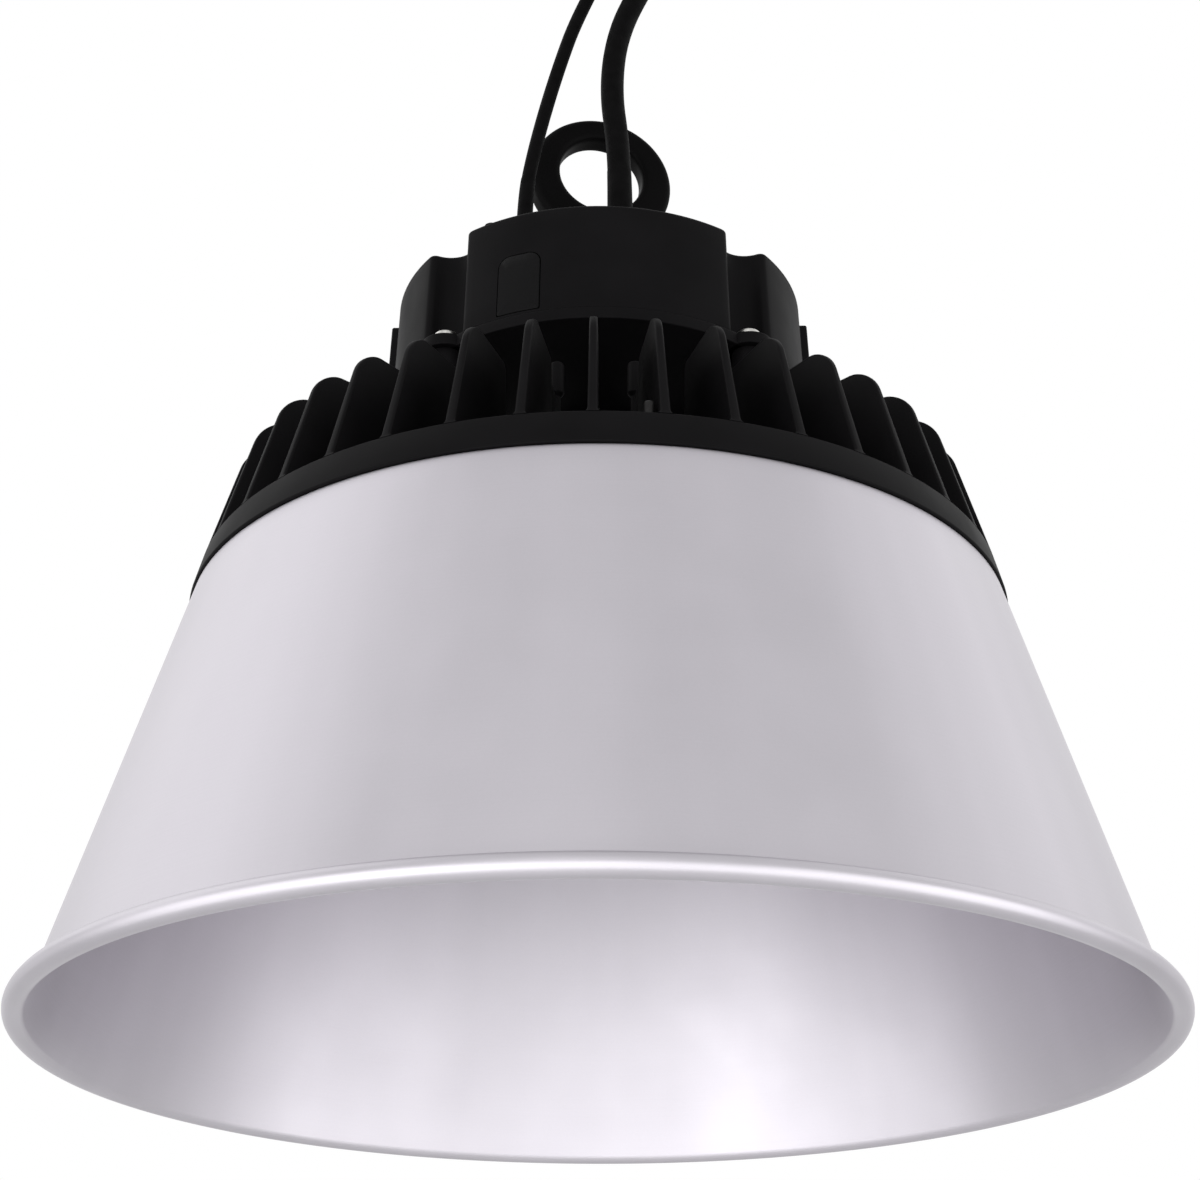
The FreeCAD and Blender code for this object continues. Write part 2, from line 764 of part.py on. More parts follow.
def make_heat_sink():
    """The casting: deck and band, fins trimmed to one profile, driver posts and tapped holes."""
    body = new_body("heat_sink")
    deck = new_sketch(body, "deck_section")
    groove_inner = gasket_inner - seat_gap
    groove_outer = gasket_inner + gasket_width + seat_gap
    outline(
        deck,
        [
            (wire_hole_radius, recess_level),
            (recess_radius, recess_level),
            (recess_radius, seat_level),
            (groove_inner, seat_level),
            (groove_inner, seat_level + gasket_depth),
            (groove_outer, seat_level + gasket_depth),
            (groove_outer, seat_level),
            (band_radius, seat_level, band_edge_round),
            (fin_foot_radius, deck_level),
            (hub_radius, deck_level),
            (hub_radius, hub_level, hub_edge_round),
            (wire_hole_radius, hub_level),
        ],
    )
    revolve(body, deck)

    plan = new_sketch(body, "fin_plan", "XY_Plane", deck_level)
    box_outline(plan, fin_root_radius, band_radius, -fin_thickness / 2, fin_thickness / 2)
    fin = extrude(body, plan, fin_height + edge_gap, taper=-fin_draft)
    repeat_round(body, [fin], fin_count)

    crown_radius = fin_foot_radius - fin_height * tangent(fin_lean)
    knee_radius = fin_inner_radius - 2 * edge_gap
    outside, inside = band_radius + band_height, fin_root_radius - band_height
    above = fin_level + band_height
    trim = new_sketch(body, "fin_profile")
    outline(
        trim,
        [
            (fin_foot_radius, deck_level),
            (crown_radius, fin_level, fin_crown_round),
            (fin_inner_radius, fin_level, fin_inner_round),
            (knee_radius, deck_level + fin_knee_height, fin_crown_round),
            (fin_root_radius, deck_level),
            (inside, deck_level),
            (inside, above),
            (outside, above),
            (outside, deck_level),
        ],
    )
    revolve(body, trim, "Groove")

    post = new_sketch(body, "post_plan", "XY_Plane", deck_level, lug_azimuth)
    circle(post, lug_circle, 0, post_radius)
    standing = extrude(body, post, base_level - deck_level, taper=-post_draft)
    repeat_round(body, [standing], lug_count)

    pairs = []
    for name, azimuth in (("right", stub_azimuth), ("left", -stub_azimuth)):
        stub = new_sketch(body, f"{name}_stub", "XY_Plane", deck_level, azimuth - 90)
        circle(stub, stub_circle, 0, stub_stem_radius)
        pairs.append(extrude(body, stub, stub_height))
        head_level = deck_level + stub_height - stub_head_height
        head = new_sketch(body, f"{name}_stub_head", "XY_Plane", head_level, azimuth - 90)
        circle(head, stub_circle, 0, stub_head_radius)
        pairs.append(extrude(body, head, stub_head_height))
        web = new_sketch(body, f"{name}_stub_web", "XY_Plane", deck_level, azimuth - 90)
        box_outline(web, stub_circle, fin_inner_radius, -stub_web / 2, stub_web / 2)
        pairs.append(extrude(body, web, stub_web_height))
    repeat_round(body, pairs, 2)

    drill(
        body,
        "post_threads",
        lug_circle,
        large_thread + slip,
        base_level,
        thread_depth + 2 * edge_gap,
        lug_count,
        lug_azimuth,
    )
    drill(
        body,
        "reflector_threads",
        reflector_screw_circle,
        middle_thread + slip,
        deck_level + edge_gap,
        band_height + 2 * edge_gap,
        reflector_screws,
        reflector_screw_azimuth,
    )
    drill(
        body,
        "lens_ring_threads",
        lens_ring_screw_circle,
        middle_thread + slip,
        seat_level + lens_ring_thread,
        lens_ring_thread + edge_gap,
        lens_ring_screws,
    )
    drill(
        body,
        "board_threads",
        board_screw_circle,
        small_thread + slip,
        recess_level + board_thread,
        board_thread + edge_gap,
        board_screws,
    )
    body.Tip = body.Group[-1]


make_heat_sink()

# ---------------------------------------------------------------- light engine

pad_level = recess_level - thermal_pad_thickness
board_level = pad_level - board_thickness


def make_light_engine():
    """The pad, the board with its chips, the lens plate, its gasket and the ring that holds it."""
    pad = turned_ring("thermal_pad", wire_hole_radius, board_radius, pad_level, recess_level)
    board = turned_ring("led_board", wire_hole_radius, board_radius, board_level, pad_level)
    for body, level in ((pad, recess_level), (board, pad_level)):
        drill(
            body,
            f"{body.Label}_screw_holes",
            board_screw_circle,
            small_thread + seat_gap,
            level + edge_gap,
            board_thickness + 2 * edge_gap,
            board_screws,
        )
    screw_ring(
        "board_screws",
        board_screw_circle,
        small_thread,
        board_level,
        board_thread + pad_level - board_level,
        board_screws,
        up=-1,
    )

    chips = new_body("led_chips")
    half = chip_width / 2
    for ring, count in enumerate(chips_in_ring, start=1):
        middle = ring * chip_ring_pitch
        plan = new_sketch(chips, f"chip_plan_{ring}", "XY_Plane", board_level)
        box_outline(plan, middle - half, middle + half, -half, half)
        chip = extrude(chips, plan, chip_height, against=True)
        repeat_round(chips, [chip], count)

    lens_top = seat_level - lens_gap
    lens_under = lens_top - lens_thickness
    turned_piece(
        "lens_plate",
        [
            (0, lens_under - lens_field_step),
            (lens_field_radius, lens_under - lens_field_step, lens_field_step / 2),
            (lens_field_radius, lens_under),
            (lens_radius, lens_under),
            (lens_radius, lens_top),
            (0, lens_top),
        ],
    )
    turned_ring(
        "lens_gasket",
        gasket_inner,
        gasket_inner + gasket_width,
        lens_top,
        seat_level + gasket_depth - seat_gap,
    )
    ring_under = lens_under - lens_ring_lip
    ring = turned_piece(
        "lens_ring",
        [
            (lens_ring_inner, ring_under, edge_gap),
            (lens_ring_outer, ring_under, 2 * edge_gap),
            (lens_ring_outer, seat_level),
            (lens_radius + edge_gap, seat_level),
            (lens_radius + edge_gap, lens_under),
            (lens_ring_inner, lens_under),
        ],
    )
    drill(
        ring,
        "lens_ring_holes",
        lens_ring_screw_circle,
        middle_thread + seat_gap,
        seat_level + edge_gap,
        seat_level - ring_under + 2 * edge_gap,
        lens_ring_screws,
    )
    screw_ring(
        "lens_ring_screws",
        lens_ring_screw_circle,
        middle_thread,
        ring_under,
        seat_level - ring_under + lens_ring_thread - edge_gap,
        lens_ring_screws,
        up=-1,
    )
    screw_ring(
        "reflector_screws",
        reflector_screw_circle,
        middle_thread,
        reflector_height - reflector_sheet,
        reflector_screw_length,
        reflector_screws,
        reflector_screw_azimuth,
        up=-1,
    )


make_light_engine()

# ---------------------------------------------------------------- driver case


def make_driver_base():
    """The driver's foot plate with its four lugs, the board's standoffs and a gasket groove."""
    body = new_body("driver_base")
    plate = new_sketch(body, "base_section")
    groove_inner = driver_gasket_inner - slip
    groove_outer = driver_gasket_inner + driver_gasket_width + slip
    groove_floor = housing_level - driver_gasket_depth
    outline(
        plate,
        [
            (wire_hole_radius, base_level),
            (base_radius, base_level, edge_gap),
            (base_radius, housing_level, edge_gap),
            (groove_outer, housing_level),
            (groove_outer, groove_floor),
            (groove_inner, groove_floor),
            (groove_inner, housing_level),
            (wire_hole_radius, housing_level),
        ],
    )
    revolve(body, plate)
    lug = new_sketch(body, "lug_plan", "XY_Plane", base_level, lug_azimuth)
    circle(lug, lug_circle, 0, lug_radius)
    repeat_round(body, [extrude(body, lug, base_thickness)], lug_count)
    standoff = new_sketch(body, "standoff_plan", "XY_Plane", housing_level)
    circle(standoff, standoff_circle, 0, standoff_radius)
    repeat_round(body, [extrude(body, standoff, standoff_height)], lug_count)
    drill(
        body,
        "lug_holes",
        lug_circle,
        large_thread + seat_gap,
        housing_level + edge_gap,
        base_thickness + 2 * edge_gap,
        lug_count,
        lug_azimuth,
    )
    drill(
        body,
        "standoff_threads",
        standoff_circle,
        small_thread + slip,
        housing_level + standoff_height,
        standoff_height,
        lug_count,
    )
    vent = new_sketch(body, "vent_hole", "XY_Plane", housing_level + edge_gap)
    circle(vent, vent_side, 0, vent_thread + slip)
    extrude(body, vent, base_thickness + 2 * edge_gap, "Pocket")


def make_driver_housing():
    """The driver's cast case: a round can with four scallops, cored from below, and two ribs."""
    body = new_body("driver_housing")
    top_radius = housing_radius_at(roof_level)
    can = new_sketch(body, "can_section")
    outline(
        can,
        [
            (0, housing_level),
            (housing_radius, housing_level),
            (top_radius, roof_level, housing_round),
            (0, roof_level),
        ],
    )
    revolve(body, can)

    rib_level = roof_level - rib_drop
    rib = new_sketch(body, "rib_plan", "XY_Plane", housing_level)
    box_outline(
        rib, cavity_radius + rib_reach, housing_radius + rib_reach, -rib_width / 2, rib_width / 2
    )
    rib_draft = arc_tangent(housing_draft / housing_height)
    ribs = extrude(body, rib, rib_level - housing_level, taper=-rib_draft)
    repeat_round(body, [ribs], 2)

    scallop = new_sketch(body, "scallop_plan", "XY_Plane", roof_level + edge_gap, lug_azimuth)
    circle(scallop, lug_circle, 0, scallop_radius)
    scallops = extrude(body, scallop, housing_height + 2 * edge_gap, "Pocket")
    repeat_round(body, [scallops], lug_count)
    round_edges(body, scallop_lip_round, is_scallop_lip)

    cavity = new_sketch(body, "cavity_plan", "XY_Plane", housing_level)
    circle(cavity, 0, 0, cavity_radius)
    extrude(body, cavity, ceiling_level - housing_level, "Pocket", against=True)
    boss = new_sketch(body, "boss_plan", "XY_Plane", ceiling_level)
    circle(boss, 0, 0, boss_radius)
    extrude(body, boss, boss_depth, against=True)

    coring = new_sketch(body, "coring_plan", "XY_Plane", housing_level)
    arc_slot(coring, coring_inner, coring_outer, coring_half_angle)
    corings = extrude(body, coring, ceiling_level - housing_level, "Pocket", against=True)
    repeat_round(body, [corings], lug_count)

    window = facing_sketch(body, "cover_recess", cover_azimuth, cover_floor)
    cover_outline(window, 0)
    extrude(body, window, housing_radius - cover_floor + edge_gap, "Pocket", against=True)

    for name, side, depth, hole in (
        ("eye_hole", 0, 0, shank_radius + slip),
        ("power_hole", power_side, -lead_depth, power_cable_radius + gland_wall + slip),
        ("dimming_hole", dimming_side, -lead_depth, dimming_cable_radius + gland_wall + slip),
    ):
        opening = new_sketch(body, name, "XY_Plane", roof_level + edge_gap)
        circle(opening, side, depth, hole)
        extrude(body, opening, housing_roof + boss_depth + 2 * edge_gap, "Pocket")
    for k, (side, depth) in enumerate(plate_screw_spots()):
        tapped = new_sketch(body, f"plate_thread_{k}", "XY_Plane", roof_level)
        circle(tapped, side, depth, small_thread + slip)
        extrude(body, tapped, housing_roof - edge_gap, "Pocket")


def is_scallop_lip(edge):
    """Whether an edge runs up the housing where a scallop meets its wall."""
    low, high = edge.BoundBox.ZMin, edge.BoundBox.ZMax
    far = max(math.hypot(vertex.X, vertex.Y) for vertex in edge.Vertexes)
    aside = min(min(abs(vertex.X), abs(vertex.Y)) for vertex in edge.Vertexes)
    return (
        high - low > housing_height.value / 2
        and abs(low - housing_level.value) < slip.value
        and abs(far - housing_radius.value) < slip.value
        and aside > rib_width.value
    )


def arc_slot(sketch, inner, outer, half_angle):
    """Draw a piece of a ring, centred on the sketch's across axis."""
    angle = math.radians(half_angle.value)
    arcs = []
    for radius in (inner, outer):
        ring = Part.Circle(Vector(), Vector(0, 0, 1), radius.value)
        arcs.append(sketch.addGeometry(Part.ArcOfCircle(ring, -angle, angle), False))
        sketch.addConstraint(Sketcher.Constraint("Coincident", arcs[-1], CENTRE, *ORIGIN))
        bind_radius(sketch, arcs[-1], radius)
    for end, sign in ((START, -1), (END, 1)):
        spots = [
            Vector(math.cos(angle) * r.value, sign * math.sin(angle) * r.value, 0)
            for r in (inner, outer)
        ]
        side = sketch.addGeometry(Part.LineSegment(*spots), False)
        sketch.addConstraint(Sketcher.Constraint("Coincident", side, START, arcs[0], end))
        sketch.addConstraint(Sketcher.Constraint("Coincident", side, END, arcs[1], end))
        number = sketch.addConstraint(
            Sketcher.Constraint("DistanceY", *ORIGIN, arcs[1], end, spots[1].y)
        )
        set_size(sketch, f"Constraints[{number}]", sign * outer * sine(half_angle))
        number = sketch.addConstraint(
            Sketcher.Constraint("DistanceY", *ORIGIN, arcs[0], end, spots[0].y)
        )
        set_size(sketch, f"Constraints[{number}]", sign * inner * sine(half_angle))


def cover_outline(sketch, gap):
    """The outline of the small cover on the housing's front, or of its recess."""
    gap = as_size(gap)
    half = cover_width / 2 - gap
    low, high = housing_level + cover_lift + gap, housing_level + cover_lift + cover_height - gap
    outline(
        sketch,
        [
            (-half, low, edge_gap),
            (half, low, edge_gap),
            (half, high, cover_round - gap),
            (-half, high, cover_round - gap),
        ],
    )


def make_port_cover():
    """The cover in the housing's front, proud of the can by a hair all over."""
    body = new_body("port_cover")
    plan = facing_sketch(body, "cover_plan", cover_azimuth, cover_floor)
    cover_outline(plan, cover_gap)
    extrude(body, plan, housing_radius - cover_floor + edge_gap)
    trim = new_sketch(body, "cover_face")
    skin = housing_radius + cover_proud
    outline(
        trim,
        [
            (skin, housing_level),
            (skin + 2 * edge_gap + housing_draft, housing_level),
            (skin + 2 * edge_gap + housing_draft, roof_level),
            (housing_radius_at(roof_level) + cover_proud, roof_level),
        ],
    )
    revolve(body, trim, "Groove")
    body.Tip = body.Group[-1]


def plate_screw_spots():
    """Where the gland plate's four screws stand."""
    across = plate_width / 2 - plate_screw_inset
    along = plate_length / 2 - plate_screw_inset
    return [
        (plate_centre + i * across, -lead_depth + k * along) for i in (-1, 1) for k in (-1, 1)
    ]


make_driver_base()
make_driver_housing()
make_port_cover()

# ---------------------------------------------------------------- driver fasteners and seals


def make_driver_fittings():
    """What closes the case and holds it to the posts."""
    turned_ring(
        "driver_gasket",
        driver_gasket_inner,
        driver_gasket_inner + driver_gasket_width,
        housing_level - driver_gasket_depth,
        housing_level,
    )
    washer_top = housing_level + lug_washer_height
    screw_ring(
        "driver_screws",
        lug_circle,
        large_thread,
        washer_top,
        lug_washer_height + base_thickness + thread_depth,
        lug_count,
        lug_azimuth,
    )
    washers = new_body("driver_washers")
    plan = new_sketch(washers, "washer_plan", "XY_Plane", housing_level, lug_azimuth)
    circle(plan, lug_circle, 0, large_thread * head_factor + edge_gap)
    circle(plan, lug_circle, 0, large_thread + slip)
    repeat_round(washers, [extrude(washers, plan, lug_washer_height)], lug_count)

    vent = turned_piece(
        "breather_vent",
        [
            (0, base_level - vent_cap_height),
            (vent_cap_radius, base_level - vent_cap_height, 2 * edge_gap),
            (vent_cap_radius, base_level),
            (vent_thread, base_level),
            (vent_thread, housing_level),
            (0, housing_level),
        ],
    )
    place(vent, vent_side, 0)


def make_stem():
    """The flanged tube that carries the wires, its two seals and the wires."""
    turned_groove_inner = wire_hole_radius + edge_gap * 2
    turned_groove_outer = turned_groove_inner + stem_seal_width
    turned_piece(
        "wiring_stem",
        [
            (wire_hole_radius, hub_level),
            (turned_groove_inner, hub_level),
            (turned_groove_inner, hub_level + stem_seal_depth),
            (turned_groove_outer, hub_level + stem_seal_depth),
            (turned_groove_outer, hub_level),
            (stem_flange_radius, hub_level),
            (stem_flange_radius, hub_level + stem_flange),
            (stem_radius, hub_level + stem_flange, stem_flange),
            (stem_radius, base_level - stem_flange, stem_flange),
            (stem_flange_radius, base_level - stem_flange),
            (stem_flange_radius, base_level),
            (turned_groove_outer, base_level),
            (turned_groove_outer, base_level - stem_seal_depth),
            (turned_groove_inner, base_level - stem_seal_depth),
            (turned_groove_inner, base_level),
            (wire_hole_radius, base_level),
        ],
    )
    seals = new_body("stem_seals")
    for name, level in (("lower", hub_level), ("upper", base_level - stem_seal_depth)):
        plan = new_sketch(seals, f"{name}_seal", "XY_Plane", level)
        circle(plan, 0, 0, turned_groove_inner + slip)
        circle(plan, 0, 0, turned_groove_outer - slip)
        extrude(seals, plan, stem_seal_depth)
    wires = new_body("supply_wires")
    plan = new_sketch(wires, "wire_plan", "XY_Plane", board_level)
    circle(plan, wire_spread, 0, wire_radius)
    wire = extrude(wires, plan, housing_level + standoff_height - board_level)
    repeat_round(wires, [wire], 2)


make_driver_fittings()
make_stem()

# ---------------------------------------------------------------- hanging eye

nut_level = roof_level + washer_height
collar_level = nut_level + nut_height
boss_level = ceiling_level - boss_depth


def make_eye():
    """The forged eye: a ring, a necked collar and a shank, turned a little from the front."""
    body = new_body("hanging_eye")
    ring = new_sketch(body, "ring_face")
    ring_middle = eye_level - eye_hole_offset
    circle(ring, 0, ring_middle, eye_radius)
    circle(ring, 0, eye_level, eye_hole_radius)
    extrude(body, ring, eye_depth, both=True)
    round_edges(body, eye_round, lambda edge: isinstance(edge.Curve, Part.Circle))
    stem = new_sketch(body, "shank_section")
    neck_level = collar_level + collar_height
    ring_bottom = ring_middle - eye_radius
    outline(
        stem,
        [
            (0, boss_level - nut_height - shank_spare),
            (shank_radius, boss_level - nut_height - shank_spare, edge_gap),
            (shank_radius, collar_level),
            (collar_radius, collar_level, edge_gap),
            (collar_radius, neck_level, 2 * edge_gap),
            (neck_radius + 2 * edge_gap, neck_level, 2 * edge_gap),
            (neck_radius, neck_level + neck_height),
            (neck_radius, ring_bottom + eye_round * 2),
            (0, ring_bottom + eye_round * 2),
        ],
    )
    revolve(body, stem)
    body.Tip = body.Group[-1]
    body.Placement = Placement(Vector(), Rotation(Vector(0, 0, 1), eye_yaw.value))
    set_size(body, "Placement.Rotation.Angle", eye_yaw)

    turned_ring("eye_washer", shank_radius + seat_gap, washer_radius, roof_level, nut_level)
    for label, level in (("eye_nut", nut_level), ("inner_nut", boss_level - nut_height)):
        nut = new_body(label)
        plan = new_sketch(nut, f"{label}_plan", "XY_Plane", level)
        hexagon(plan, Size(0, "0"), Size(0, "0"), nut_flats)
        circle(plan, 0, 0, shank_radius + slip)
        extrude(nut, plan, nut_height)


make_eye()

# ---------------------------------------------------------------- glands and leads


def make_gland_plate():
    """The plate that carries both glands, and its screws."""
    body = new_body("gland_plate")
    plan = new_sketch(body, "plate_plan", "XY_Plane", roof_level)
    half_across, half_along = plate_width / 2, plate_length / 2
    box_outline(
        plan,
        plate_centre - half_across,
        plate_centre + half_across,
        -lead_depth - half_along,
        -lead_depth + half_along,
        plate_corner,
    )
    for side, radius in (
        (power_side, power_cable_radius + gland_wall + slip),
        (dimming_side, dimming_cable_radius + gland_wall + slip),
    ):
        circle(plan, side, -lead_depth, radius)
    for side, along in plate_screw_spots():
        circle(plan, side, along, small_thread + seat_gap)
    extrude(body, plan, plate_thickness)

    screws = new_body("plate_screws")
    head = small_thread * head_factor
    for k, (side, along) in enumerate(plate_screw_spots()):
        shank = new_sketch(screws, f"plate_shank_{k}", "XY_Plane", plate_level)
        circle(shank, side, along, small_thread)
        extrude(screws, shank, plate_thickness + housing_roof - 2 * edge_gap, against=True)
        crown = new_sketch(screws, f"plate_head_{k}", "XY_Plane", plate_level)
        circle(crown, side, along, head)
        extrude(screws, crown, small_thread * head_height_factor)


def make_gland(name, side, cable_radius, flats):
    """A cable gland: a hollow screw with a hexagon, a domed nut and the seal it squeezes."""
    shank = cable_radius + gland_wall
    bore = cable_radius + seat_gap
    hex_level = plate_level + gland_hex_height
    thread_level = hex_level + gland_thread_rise
    body = new_body(f"{name}_gland")
    turned = new_sketch(body, f"{name}_gland_section")
    outline(
        turned,
        [
            (bore, plate_level - gland_shank),
            (shank, plate_level - gland_shank),
            (shank, thread_level),
            (bore, thread_level),
        ],
    )
    revolve(body, turned)
    collar = new_sketch(body, f"{name}_gland_hexagon", "XY_Plane", plate_level)
    hexagon(collar, Size(0, "0"), Size(0, "0"), flats)
    circle(collar, 0, 0, shank - slip)
    extrude(body, collar, gland_hex_height)
    nut = turned_piece(
        f"{name}_gland_nut",
        [
            (shank + slip, hex_level),
            (shank + gland_nut_wall, hex_level, edge_gap),
            (shank + gland_nut_wall, thread_level, 3 * edge_gap),
            (bore + gland_wall, gland_level, edge_gap),
            (bore, gland_level),
            (bore, gland_level - gland_lip),
            (shank + slip, gland_level - gland_lip),
        ],
    )
    seal = turned_ring(
        f"{name}_gland_seal",
        cable_radius + slip,
        shank,
        thread_level,
        gland_level - gland_lip,
    )
    for piece in (body, nut, seal):
        place(piece, side, -lead_depth)


# Where each lead runs: points chosen by hand, from inside its gland to its connector.
power_route = [
    (power_side.value, -lead_depth.value, 308.0),
    (power_side.value, -lead_depth.value, 334.0),
    (8.0, -52.1, 357.0),
    (5.3, -51.6, 381.0),
    (7.1, -50.3, 407.0),
    (14.2, -48.5, 431.0),
    (23.6, -46.0, 451.0),
]
dimming_route = [
    (dimming_side.value, -lead_depth.value, 308.0),
    (dimming_side.value, -lead_depth.value, 331.0),
    (-25.6, -51.8, 352.0),
    (-20.9, -51.2, 375.0),
    (-15.2, -50.2, 399.0),
    (-9.0, -48.6, 422.0),
    (-0.8, -46.2, 444.0),
]
arc_share = 0.45


def lead_path(route):
    """The line of a lead: straight runs joined by arcs, as large as their runs allow."""
    spots = [Vector(*spot) for spot in route]
    edges, start = [], spots[0]
    for before, corner, after in zip(spots, spots[1:], spots[2:]):
        reach = arc_share * min((corner - before).Length, (after - corner).Length)
        turn = (corner - before).getAngle(after - corner)
        radius = reach / math.tan(turn / 2)
        arrive, leave, middle = rounding(before, corner, after, radius)
        edges += [Part.LineSegment(start, arrive).toShape(), Part.Arc(arrive, middle, leave).toShape()]
        start = leave
        print(f"  bend {radius:.0f} mm")
    edges.append(Part.LineSegment(start, spots[-1]).toShape())
    return Part.Wire(edges)


def make_lead(name, route, cable_radius):
    """A lead as a tube along its path."""
    path = lead_path(route)
    first = Vector(*route[1]) - Vector(*route[0])
    mouth = Part.Wire(Part.Circle(Vector(*route[0]), first, cable_radius.value).toShape())
    tube = path.makePipeShell([mouth], True, True)
    lead = doc.addObject("Part::Feature", f"{name}_cable")
    lead.Label = f"{name}_cable"
    lead.Shape = tube
    lead.Placement = Placement()
    parts.append(lead)
    expected = math.pi * cable_radius.value**2 * path.Length
    print(f"{name}_cable: {path.Length:.1f} mm long, volume {tube.Volume / expected:.4f} of its section")


def make_connector(name, route, cable_radius, connector_radius, length):
    """The plug-in connector on a lead's end: a tapered sleeve, a grip nut and a socket."""
    sleeve, grip = length * connector_sleeve_share, length * connector_grip_share
    flange = length * connector_body_share
    body = turned_piece(
        f"{name}_connector",
        [
            (0, 0),
            (cable_radius + gland_wall, 0, edge_gap),
            (connector_radius - gland_wall, sleeve),
            (connector_radius, sleeve, edge_gap),
            (connector_radius, grip, edge_gap),
            (connector_radius - gland_wall / 2, grip),
            (connector_radius - gland_wall / 2, flange),
            (connector_radius, flange, edge_gap),
            (connector_radius, length, edge_gap),
            (connector_radius - gland_wall, length),
            (connector_radius - gland_wall, flange),
            (0, flange),
        ],
    )
    end = Vector(*route[-1])
    direction = end - Vector(*route[-2])
    body.Placement = Placement(end, Rotation(Vector(0, 0, 1), direction))


make_gland_plate()
for lead_name, lead_side, lead_radius, lead_flats, lead_route, plug_radius, plug_length in (
    (
        "power",
        power_side,
        power_cable_radius,
        power_gland_flats,
        power_route,
        power_connector_radius,
        power_connector_length,
    ),
    (
        "dimming",
        dimming_side,
        dimming_cable_radius,
        dimming_gland_flats,
        dimming_route,
        dimming_connector_radius,
        dimming_connector_length,
    ),
):
    make_gland(lead_name, lead_side, lead_radius, lead_flats)
    make_lead(lead_name, lead_route, lead_radius)
    make_connector(lead_name, lead_route, lead_radius, plug_radius, plug_length)

# ---------------------------------------------------------------- electronics

circuit_level = housing_level + standoff_height
component_level = circuit_level + circuit_thickness


def block(label, across, along, width, depth, height, radius=None):
    """An upright block on the circuit board, about its middle."""
    body = new_body(label)
    add_block(body, label, across, along, width, depth, height, radius)
    return body


def add_block(body, name, across, along, width, depth, height, radius=None):
    """Add an upright block to a sub-part."""
    plan = new_sketch(body, f"{name}_plan", "XY_Plane", component_level)
    box_outline(
        plan,
        across - width / 2,
        across + width / 2,
        along - depth / 2,
        along + depth / 2,
        radius,
    )
    extrude(body, plan, height)


def make_electronics():
    """The circuit board, its screws and the large components on it."""
    board = turned_ring("circuit_board", 0, circuit_radius, circuit_level, component_level)
    for k, (i, j) in enumerate(((1, 0), (0, 1), (-1, 0), (0, -1))):
        hole = new_sketch(board, f"circuit_hole_{k}", "XY_Plane", component_level + edge_gap)
        circle(hole, i * standoff_circle, j * standoff_circle, small_thread + seat_gap)
        extrude(board, hole, circuit_thickness + 2 * edge_gap, "Pocket")
    screw_ring(
        "circuit_screws",
        standoff_circle,
        small_thread,
        component_level,
        circuit_thickness + standoff_height - edge_gap,
        lug_count,
    )
    block(
        "transformer",
        *transformer_spot,
        transformer_width,
        transformer_depth,
        transformer_height,
        2 * edge_gap,
    )
    choke = turned_ring(
        "choke", choke_hole_radius, choke_radius, component_level, component_level + choke_height
    )
    place(choke, *choke_spot)
    capacitors = new_body("capacitors")
    for k, (across, along) in enumerate(capacitor_spots):
        plan = new_sketch(capacitors, f"capacitor_plan_{k}", "XY_Plane", component_level)
        circle(plan, across, along, capacitor_radius)
        extrude(capacitors, plan, capacitor_height)
    block(
        "heat_spreader",
        Size(0, "0"),
        spreader_along,
        spreader_width,
        spreader_thickness,
        spreader_height,
    )
    transistors = new_body("transistors")
    for name, side in (("left", -1), ("middle", 0), ("right", 1)):
        add_block(
            transistors,
            f"{name}_transistor",
            side * transistor_pitch,
            spreader_along - (spreader_thickness + transistor_depth) / 2,
            transistor_width,
            transistor_depth,
            transistor_height,
        )
    block(
        "terminal_block",
        *terminal_spot,
        terminal_width,
        terminal_height,
        terminal_height,
    )
    block(
        "filter_capacitor",
        *filter_spot,
        filter_width,
        filter_depth,
        filter_height,
        edge_gap,
    )


make_electronics()


def finish():
    """Check every object, then write one STEP file for each sub-part."""
    doc.recompute()
    for thing in doc.Objects:
        if "Invalid" in thing.State or "Error" in thing.State:
            raise SystemExit(f"{thing.Name} is {thing.State}")
    os.makedirs("parts", exist_ok=True)
    for part in parts:
        shape = part.Shape
        if shape.isNull() or not shape.isValid():
            raise SystemExit(f"{part.Label} has no valid shape")
        shape.exportStep(os.path.join("parts", f"{part.Label}.step"))
        print(f"{part.Label}: {len(shape.Solids)} solids, {shape.Volume / 1000:.2f} cm3")


finish()
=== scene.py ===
"""A high bay light: its looks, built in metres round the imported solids."""

import cmath
import logging
import math
from collections.abc import Sequence
from dataclasses import dataclass
from enum import Enum

import bmesh
import bpy
from mathutils import Matrix, Vector


